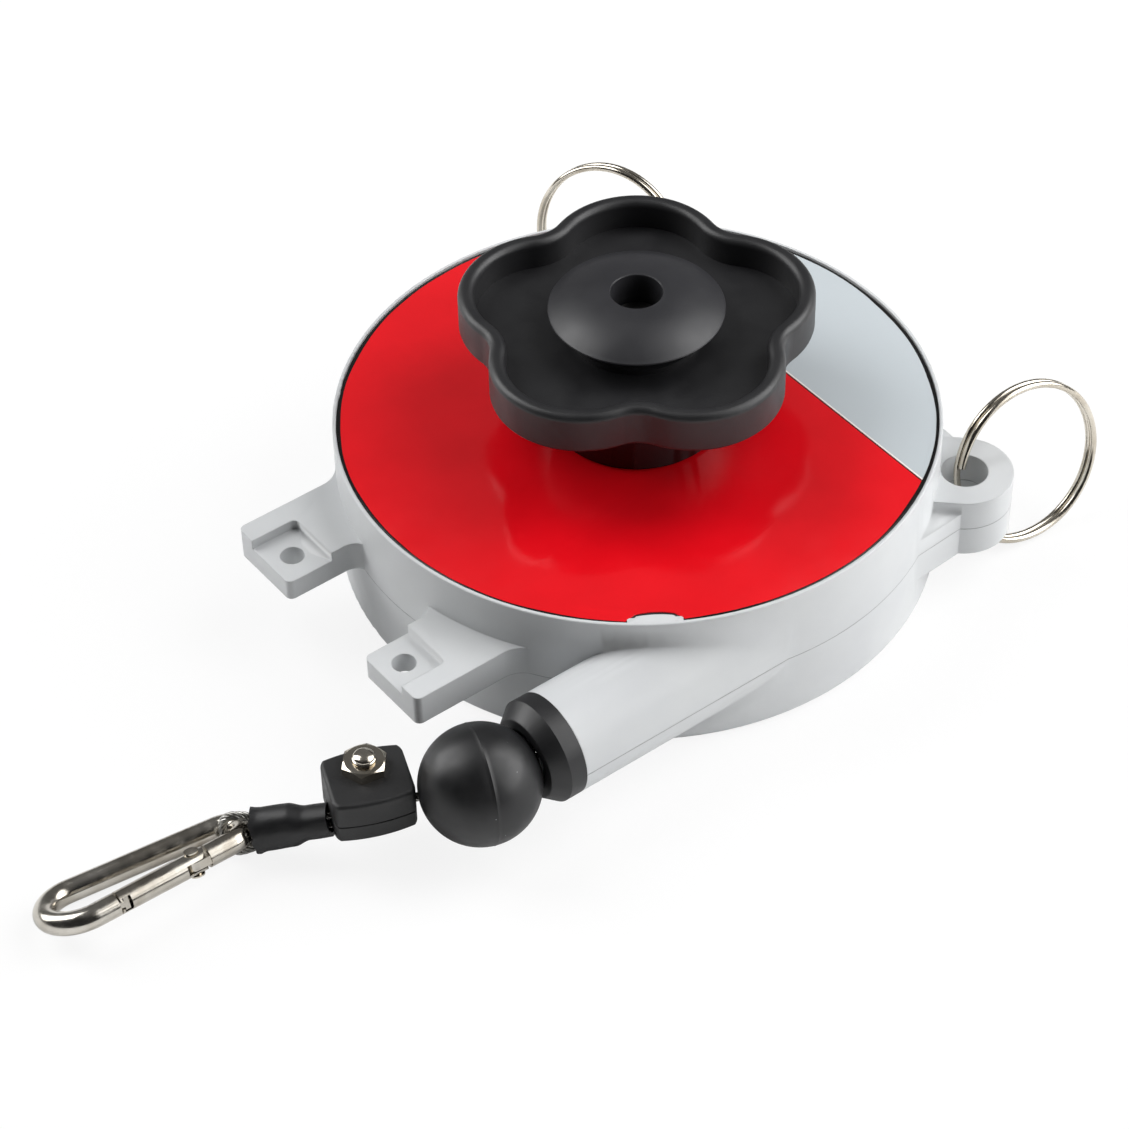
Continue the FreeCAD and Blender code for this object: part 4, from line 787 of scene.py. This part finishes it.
@dataclass
class CableEnd:
    """The stop ball, clamp, sleeve and the cable's eye."""

    ball: Vector = field(default_factory=lambda: middle("stop_ball"))
    ball_r: float = 10.4 * MM
    mould_axis: Vector = own(-0.9455, 0.3256, 0.0195)
    clamp: Vector = own(-82.62, -34.2, 10.75, MM)
    bolt: Vector = field(default_factory=lambda: middle("clamp_nut"))
    clamp_turn: Vector = own(-0.9311, 0.3649, 0.0)
    pull: Vector = own(-0.8307, 0.5272, -0.1787)
    sleeve: Vector = own(-0.7512, 0.6165, -0.2359)
    normal: Vector = own(0.0307, 0.3895, 0.9205)
    start: Vector = own(-88.776, -30.646, 8.646, MM)
    eye: Vector = own(-102.598, -19.302, 4.305, MM)
    cable_r: float = 0.8 * MM
    eye_r: float = 3.2 * MM
    sleeve_l: float = 12.9 * MM
    bolt_r: float = 2.0 * MM
    head_h: float = 2.2 * MM
    head_af: float = 7.0 * MM
    ridge_h: float = 0.05 * MM
    ridge_w: float = 0.009
    ridge_foot: float = 0.01 * MM
    pitch: float = 0.7 * MM
    thread_depth: float = 0.26 * MM
    crest_drop: float = 0.02 * MM
    stud_dome: float = 0.75 * MM
    stud_taper: float = 0.12 * MM
    sleeve_near_r: float = 2.9 * MM
    sleeve_far_r: float = 3.45 * MM
    sleeve_wall: float = 0.65 * MM
    sleeve_ripple: float = 0.14 * MM
    sleeve_flare: float = 0.35 * MM
    sleeve_tear: float = 0.75 * MM
    sleeve_slices: int = 40
    lip_r: float = 2.55 * MM
    lip_crumple: float = 0.28 * MM
    lip_flare: float = 0.15 * MM
    lip_back: float = 2.2 * MM
    lip_l: float = 2.1 * MM
    lip_tear: float = 0.7 * MM
    lip_wall: float = 0.18 * MM
    lip_slices: int = 8
    throat: float = 7.3 * MM
    leg_half: float = 0.85 * MM
    shoulder_back: float = 1.6 * MM
    tip_out: float = 0.1 * MM
    eye_slack: float = 0.12 * MM
    ball_lead: float = 9.0 * MM
    strands: int = 6
    strand_r: float = 0.27 * MM
    strand_out: float = 0.53 * MM
    lay: float = 6.5 * MM
    lead_from: Vector = own(-14.0, -43.8, 14.0, MM)
    lead_slices: int = 80

    def build(self) -> None:
        """Builds and dresses the cable end."""
        self.stop_ball()
        dressed_copy("clamp_upper", "clamp_top_half", "cable_end", CLAMP_ABS)
        dressed_copy("clamp_lower", "clamp_low_half", "cable_end", CLAMP_ABS)
        dress(NICKEL, "clamp_nut")
        self.stud()
        dress(ALUMINIUM, "crimp_ferrule")
        self.shrunk_sleeve()
        self.ferrule_lip()
        self.rope_eye()
        self.rope_lead()

    def stop_ball(self) -> None:
        """Builds the ball with the fine ridge that its mould's halves leave."""
        steps = 48
        profile = []
        for i in range(steps + 1):
            angle = math.pi * i / steps
            profile.append((self.ball_r * math.sin(angle), -self.ball_r * math.cos(angle)))
        foot, crest, half = self.ball_r + self.ridge_foot, self.ball_r + self.ridge_h, self.ridge_w * self.ball_r
        ridge = [(foot, -half), (crest, -half / 3), (crest, half / 3), (foot, half)]
        profile[steps // 2:steps // 2 + 1] = ridge
        bm = lathe(profile, 96, close=False)
        place_on(bm, self.ball, self.mould_axis, Vector((0, 0, 1)))
        piece = new_piece(bm, "moulded_stop_ball", "cable_end", RUBBER, MOULD_ANGLE)
        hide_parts("stop_ball")

    def stud(self) -> None:
        """Builds the clamp's bolt with its threaded, domed end and hexagon head."""
        pitch, root = self.pitch, self.bolt_r - self.thread_depth
        crest = self.bolt_r - self.crest_drop
        head_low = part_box("clamp_bolt")[0].z
        low = head_low + self.head_h
        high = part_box("clamp_bolt")[1].z
        dome = self.stud_dome
        profile = [(0.0, low), (root, low)]
        z = low + pitch
        while z < high - dome - pitch / 2:
            profile += [(root, z - 0.3 * pitch), (crest, z), (crest, z + 0.12 * pitch)]
            z += pitch
        profile.append((root, high - dome - self.stud_taper))
        for i in range(9):
            angle = math.pi / 2 * i / 8
            profile.append(((self.bolt_r - self.stud_taper) * math.cos(angle), high - dome * (1 - math.sin(angle))))
        profile[-1] = (0.0, high)
        bm = lathe(profile, 48, close=False)
        head = bmesh.ops.create_cone(bm, cap_ends=True, segments=6, radius1=self.head_af / math.sqrt(3),
                                     radius2=self.head_af / math.sqrt(3), depth=self.head_h)
        bmesh.ops.translate(bm, verts=head["verts"], vec=(0, 0, head_low + self.head_h / 2))
        place_on(bm, Vector((self.bolt.x, self.bolt.y, 0)), Vector((0, 0, 1)), self.clamp_turn)
        piece = new_piece(bm, "threaded_clamp_stud", "cable_end", NICKEL)
        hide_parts("clamp_bolt")

    def shrunk_sleeve(self) -> None:
        """Builds the shrunk sleeve: waisted at the clamp, oval and torn at the eye."""
        swell_from, swell_over, flare_from, tear_from = 0.3, 0.22, 0.86, 0.9
        bm = bmesh.new()
        bmesh.ops.create_cone(bm, cap_ends=False, segments=64, radius1=1.0, radius2=1.0, depth=1.0)
        sliced(bm, self.sleeve_slices)
        for vert in bm.verts:
            share = vert.co.z + 0.5
            angle = math.atan2(vert.co.y, vert.co.x)
            x, y = math.cos(angle), math.sin(angle)
            swell = smooth((share - swell_from) / swell_over)
            flare = max(share - flare_from, 0.0) / (1 - flare_from)
            oval = 1 + 0.1 * swell * math.cos(2 * angle)
            ripple = self.sleeve_ripple * noise.noise(Vector((x * 1.6, y * 1.6, share * 3.0)))
            radius = (self.sleeve_near_r + (self.sleeve_far_r - self.sleeve_near_r) * swell) * oval + ripple
            radius += self.sleeve_flare * flare**2
            tear = 0.0
            if share > tear_from:
                torn = noise.noise(Vector((x * 3.1, y * 3.1, 7.3)))
                tear = self.sleeve_tear * torn * (share - tear_from) / (1 - tear_from)
            vert.co = Vector((radius * x, radius * y, share * self.sleeve_l + tear))
        bmesh.ops.recalc_face_normals(bm, faces=bm.faces)
        bmesh.ops.solidify(bm, geom=list(bm.faces), thickness=self.sleeve_wall)
        place_on(bm, self.start, self.sleeve, self.normal)
        piece = new_piece(bm, "shrunk_black_sleeve", "cable_end", SHRINK, TORN_ANGLE)
        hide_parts("shrink_sleeve")

    def ferrule_lip(self) -> None:
        """Builds the ferrule's torn bright edge in the sleeve's mouth."""
        bm = bmesh.new()
        bmesh.ops.create_cone(bm, cap_ends=False, segments=56, radius1=1.0, radius2=1.0, depth=1.0)
        sliced(bm, self.lip_slices)
        for vert in bm.verts:
            share = vert.co.z + 0.5
            angle = math.atan2(vert.co.y, vert.co.x)
            x, y = math.cos(angle), math.sin(angle)
            crumple = noise.noise(Vector((x * 2.7, y * 2.7, share * 2.0)))
            radius = self.lip_r + self.lip_crumple * crumple + self.lip_flare * share
            reach = self.sleeve_l - self.lip_back + share * self.lip_l + self.lip_tear * crumple * share
            vert.co = Vector((radius * x, radius * y, reach))
        bmesh.ops.recalc_face_normals(bm, faces=bm.faces)
        bmesh.ops.solidify(bm, geom=list(bm.faces), thickness=self.lip_wall)
        place_on(bm, self.start, self.sleeve, self.normal)
        new_piece(bm, "torn_ferrule_lip", "cable_end", ALUMINIUM, CRUMPLED_ANGLE)

    def route(self) -> list[Vector]:
        """Gives the route of the cable from the ball, through the clamp and sleeve, round the eye and back.

        Returns:
            The route's control points.
        """
        shoulder = self.eye - self.sleeve * self.eye_r - self.sleeve * self.shoulder_back
        tip = self.eye + self.sleeve * self.tip_out
        throat = self.eye - self.sleeve * self.throat
        half = self.normal * self.leg_half
        out = self.normal * (self.eye_r + self.eye_slack)
        return [self.ball, self.ball + self.pull * self.ball_lead, self.clamp, self.start + half, throat + half,
                shoulder + out * 0.92, tip + out * 1.06, tip - out * 1.06, shoulder - out * 0.92, throat - half,
                self.start - half]

    def rope_eye(self) -> None:
        """Builds the rope's six strands and core along the route."""
        line = self.line_along(self.route())
        way = [0.0]
        for a, b in zip(line, line[1:]):
            way.append(way[-1] + (b - a).length)
        tangents = [(line[min(i + 1, len(line) - 1)] - line[max(i - 1, 0)]).normalized() for i in range(len(line))]
        side = tangents[0].orthogonal().normalized()
        sides = []
        for tangent in tangents:
            side = (side - tangent * side.dot(tangent)).normalized()
            sides.append(side)
        bm = bmesh.new()
        for strand in range(self.strands + 1):
            out = self.strand_out if strand < self.strands else 0.0
            points = []
            for i, centre in enumerate(line):
                angle = FULL_TURN * (strand / self.strands + way[i] / self.lay)
                other = tangents[i].cross(sides[i])
                points.append(centre + (sides[i] * math.cos(angle) + other * math.sin(angle)) * out)
            self.add_tube(bm, points, self.strand_r)
        bmesh.ops.recalc_face_normals(bm, faces=bm.faces)
        piece = new_piece(bm, "laid_rope_eye", "cable_end", WIRE, STRAND_ANGLE)
        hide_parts("cable_run")

    def line_along(self, points: list[Vector]) -> list[Vector]:
        """Reads evenly spread points off a smooth spline.

        Args:
            points: The spline's control points.

        Returns:
            Points along it.
        """
        curve = bpy.data.curves.new("route", "CURVE")
        curve.dimensions = "3D"
        curve.resolution_u = 18
        spline = curve.splines.new("NURBS")
        spline.points.add(len(points) - 1)
        for point, place in zip(spline.points, points):
            point.co = (*place, 1.0)
        spline.order_u = 3
        spline.use_endpoint_u = True
        holder = bpy.data.objects.new("route", curve)
        bpy.context.scene.collection.objects.link(holder)
        mesh = bpy.data.meshes.new_from_object(holder)
        line = [v.co.copy() for v in mesh.vertices]
        bpy.data.objects.remove(holder)
        bpy.data.curves.remove(curve)
        bpy.data.meshes.remove(mesh)
        return line

    def add_tube(self, bm: bmesh.types.BMesh, points: list[Vector], radius: float, sides: int = 8) -> None:
        """Adds a round wire along points to a mesh.

        Args:
            bm: The mesh.
            points: The wire's line.
            radius: Its radius.
            sides: Faces round.
        """
        rings = []
        side = (points[1] - points[0]).orthogonal().normalized()
        for i, centre in enumerate(points):
            tangent = (points[min(i + 1, len(points) - 1)] - points[max(i - 1, 0)]).normalized()
            side = (side - tangent * side.dot(tangent)).normalized()
            other = tangent.cross(side)
            turn = Matrix((side, other, tangent)).transposed().to_4x4()
            ring = bmesh.ops.create_circle(bm, cap_ends=i in (0, len(points) - 1), segments=sides, radius=radius,
                                           matrix=Matrix.Translation(centre) @ turn)
            found = ring["verts"]
            rings.append([e for v in found for e in v.link_edges if e.other_vert(v) in found])
        for before, after in zip(rings, rings[1:]):
            bmesh.ops.bridge_loops(bm, edges=list(dict.fromkeys(before + after)))

    def rope_lead(self) -> None:
        """Builds the cable between the drum and the ball, attached to no body."""
        inner = self.lead_from
        length = inner.x - self.ball.x
        bm = bmesh.new()
        bmesh.ops.create_cone(bm, cap_ends=True, segments=20, radius1=self.cable_r, radius2=self.cable_r,
                              depth=length)
        sliced(bm, self.lead_slices, length)
        place_on(bm, (inner + self.ball) / 2, Vector((-1, 0, 0)), Vector((0, 0, 1)))
        piece = new_piece(bm, "laid_rope_lead", "", ROPE, STRAND_ANGLE)
        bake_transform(piece)
        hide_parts("cable_run")


class Side(Enum):
    """How a ring hangs: its lug's turn about the drum, its own turn, the way it leans and how far."""

    HANGER = (-45.0, -5.0, -1.0, 15.0)
    SAFETY = (45.0, 113.0, 1.0, 15.0)


@dataclass
class Hardware:
    """The snap hook and the two split rings."""

    wire_r: float = 0.625 * MM
    mean_r: float = 14.875 * MM
    coil_gap: float = 0.08 * MM
    hole_dist: float = 58.3 * MM
    seat: float = 0.9 * MM
    ring_z: float = 15.2 * MM
    jog: float = math.radians(38.0)
    step: float = math.radians(3.0)

    def build(self) -> None:
        """Dresses the hook and rings."""
        dressed_copy("hook_body", "snap_hook_rod", "hook", STAINLESS)
        dressed_copy("hook_gate", "snap_hook_gate", "gate", STAINLESS)
        dress(NICKEL, "gate_rivet")
        self.split_ring(Side.HANGER, "hanging_split_ring", "hanger_ring")
        self.split_ring(Side.SAFETY, "safety_split_ring", "safety_ring")

    def split_ring(self, side: Side, name: str, body: str) -> None:
        """Builds a ring of two flat coils with a short jog between them, its cut ends at the lug.

        Args:
            side: The lug that it hangs in.
            name: The piece's name.
            body: The body that it moves with, which is the CAD node's name too.
        """
        lug, yaw, way, degrees = side.value
        lean = math.radians(degrees)
        bm = bmesh.new()
        section = Matrix.Translation((self.mean_r, 0, 0)) @ Matrix.Rotation(math.pi / 2, 4, "X")
        made = bmesh.ops.create_circle(bm, segments=16, radius=self.wire_r, matrix=section)
        last = made["verts"] + list(dict.fromkeys(e for v in made["verts"] for e in v.link_edges))
        half = self.wire_r + self.coil_gap / 2
        total = 2 * FULL_TURN - self.jog
        steps = round(total / self.step)

        def height(turn: float) -> float:
            """Gives the coil's height at a turn along the wire."""
            return half * (2 * smooth((turn - (FULL_TURN - self.jog)) / self.jog) - 1)

        for i in range(steps):
            lift = height(total * (i + 1) / steps) - height(total * i / steps)
            last = bmesh.ops.spin(bm, geom=last, cent=(0, 0, 0), axis=(0, 0, 1), dvec=(0, 0, lift),
                                  angle=total / steps, steps=1, use_duplicate=False)["geom_last"]
        bmesh.ops.translate(bm, verts=bm.verts, vec=(0, 0, -half))
        bmesh.ops.holes_fill(bm, edges=[e for e in bm.edges if e.is_boundary])
        bmesh.ops.recalc_face_normals(bm, faces=bm.faces)
        bmesh.ops.rotate(bm, verts=bm.verts, cent=(0, 0, 0), matrix=Matrix.Rotation(math.pi + self.jog / 2, 3, "Z"))
        out = Vector((math.cos(math.radians(yaw)), math.sin(math.radians(yaw)), 0))
        across = Vector((0, 0, 1)).cross(out)
        normal = across * (way * math.cos(lean)) + Vector((0, 0, 1)) * math.sin(lean)
        angle = math.radians(lug)
        hole = Vector((math.cos(angle), math.sin(angle), 0)) * self.hole_dist
        place_on(bm, hole + out * (self.mean_r - self.seat) + Vector((0, 0, self.ring_z)), normal, out)
        piece = new_piece(bm, name, body, NICKEL, MOULD_ANGLE)
        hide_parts(body)


class SoftBox(Enum):
    """The lamps: turn from X and height in degrees, width and height in metres, and power in watts."""

    LEFT = (123.5, 38.0, (0.5, 0.95), 7.9)
    RIGHT = (-38.0, 38.0, (0.9, 0.8), 5.0)
    RIGHT_FAR = (-20.0, 45.0, (0.5, 0.9), 4.3)
    RIGHT_LOW = (-50.0, 22.0, (0.8, 0.4), 2.5)


@dataclass
class Studio:
    """The floor, light and camera."""

    target: Vector = own(-16.4, 0.55, 0.0, MM)
    back: Vector = own(-0.428, -0.579, 0.694)
    distance: float = 632.6 * MM
    roll: float = math.radians(-1.41)
    lens: float = 111.6
    lamp_distance: float = 0.9
    glow_way: Point = (0.42, 0.57, 0.71)
    glow: float = 0.16
    fill: float = 0.03
    glow_from: float = 0.2
    glow_full: float = 0.95
    floor_reach: float = 6.0
    floor_drop: float = 0.2 * MM
    floor_white: float = 0.86
    sensor: float = 36.0
    near: float = 0.01
    far: float = 20.0

    def build(self) -> None:
        """Builds the studio."""
        self.floor()
        self.world()
        for box in SoftBox:
            self.lamp(box)
        self.camera()

    def floor(self) -> None:
        """Builds the pale floor, which shows white but keeps a soft shadow."""
        bm = bmesh.new()
        bmesh.ops.create_grid(bm, x_segments=1, y_segments=1, size=self.floor_reach)
        bmesh.ops.translate(bm, verts=bm.verts, vec=(0, 0, -self.floor_drop))
        mesh = bpy.data.meshes.new("floor")
        bm.to_mesh(mesh)
        bm.free()
        material = bpy.data.materials.new("white_sweep")
        material.use_nodes = True
        tree = material.node_tree
        tree.nodes.clear()
        paper = add(tree, "ShaderNodeBsdfDiffuse", {"Color": linear("#F2F2F2")})
        glow = add(tree, "ShaderNodeEmission", {"Color": linear("#FFFFFF"), "Strength": 1.0})
        path = add(tree, "ShaderNodeLightPath")
        share = add(tree, "ShaderNodeMath", {0: path.outputs["Is Camera Ray"], 1: self.floor_white},
                    operation="MULTIPLY")
        mix = add(tree, "ShaderNodeMixShader", {0: share.outputs["Value"], 1: paper.outputs["BSDF"],
                                                2: glow.outputs["Emission"]})
        add(tree, "ShaderNodeOutputMaterial", {"Surface": mix.outputs["Shader"]})
        mesh.materials.append(material)
        floor = bpy.data.objects.new("floor", mesh)
        bpy.context.scene.collection.objects.link(floor)

    def world(self) -> None:
        """Builds the dark room round the object, a little brighter above its back, with a white backdrop."""
        world = bpy.data.worlds.new("studio")
        world.use_nodes = True
        tree = world.node_tree
        tree.nodes.clear()
        way = add(tree, "ShaderNodeTexCoord").outputs["Generated"]
        facing = add(tree, "ShaderNodeVectorMath", {0: way, 1: Vector(self.glow_way).normalized()},
                     operation="DOT_PRODUCT")
        glow = add(tree, "ShaderNodeMapRange", {"Value": facing.outputs["Value"], "From Min": self.glow_from,
                                                "From Max": self.glow_full,
                                                "To Min": self.fill, "To Max": self.glow},
                   interpolation_type="SMOOTHSTEP")
        path = add(tree, "ShaderNodeLightPath")
        white = add(tree, "ShaderNodeMix", {"Factor": path.outputs["Is Camera Ray"], "A": glow.outputs["Result"],
                                            "B": (1, 1, 1, 1)}, data_type="RGBA")
        sky = add(tree, "ShaderNodeBackground", {"Color": white.outputs["Result"], "Strength": 1.0})
        add(tree, "ShaderNodeOutputWorld", {"Surface": sky.outputs["Background"]})
        bpy.context.scene.world = world

    def lamp(self, box: SoftBox) -> None:
        """Adds a soft box that faces the object.

        Args:
            box: Which one.
        """
        azimuth, elevation, size, power = box.value
        name = f"{box.name.lower()}_box"
        light = bpy.data.lights.new(name, "AREA")
        light.shape = "RECTANGLE"
        light.size, light.size_y = size
        light.energy = power
        lamp = bpy.data.objects.new(name, light)
        turn, rise = math.radians(azimuth), math.radians(elevation)
        way = Vector((math.cos(turn) * math.cos(rise), math.sin(turn) * math.cos(rise), math.sin(rise)))
        lamp.location = self.target + way * self.lamp_distance
        lamp.rotation_euler = way.to_track_quat("Z", "Y").to_euler()
        bpy.context.scene.collection.objects.link(lamp)

    def camera(self) -> None:
        """Sets the camera."""
        data = bpy.data.cameras.new("camera")
        data.lens, data.sensor_width = self.lens, self.sensor
        data.clip_start, data.clip_end = self.near, self.far
        camera = bpy.data.objects.new("camera", data)
        back = self.back.normalized()
        right = Vector((0, 0, 1)).cross(back).normalized()
        up = back.cross(right)
        turned_right = right * math.cos(self.roll) + up * math.sin(self.roll)
        turned_up = back.cross(turned_right)
        turn = Matrix((turned_right, turned_up, back)).transposed().to_4x4()
        camera.matrix_world = Matrix.Translation(self.target + back * self.distance) @ turn
        bpy.context.scene.collection.objects.link(camera)
        bpy.context.scene.camera = camera


def main() -> None:
    """Builds every sub-assembly and the studio."""
    logging.basicConfig(level=logging.INFO, format="%(message)s")
    for part in (Housing(), Reel(), TensionKnob(), CableEnd(), Hardware(), Studio()):
        part.build()
        LOG.info("built %s", type(part).__name__)
    bpy.context.scene.view_settings.view_transform = "Standard"


if __name__ == "__main__":
    main()
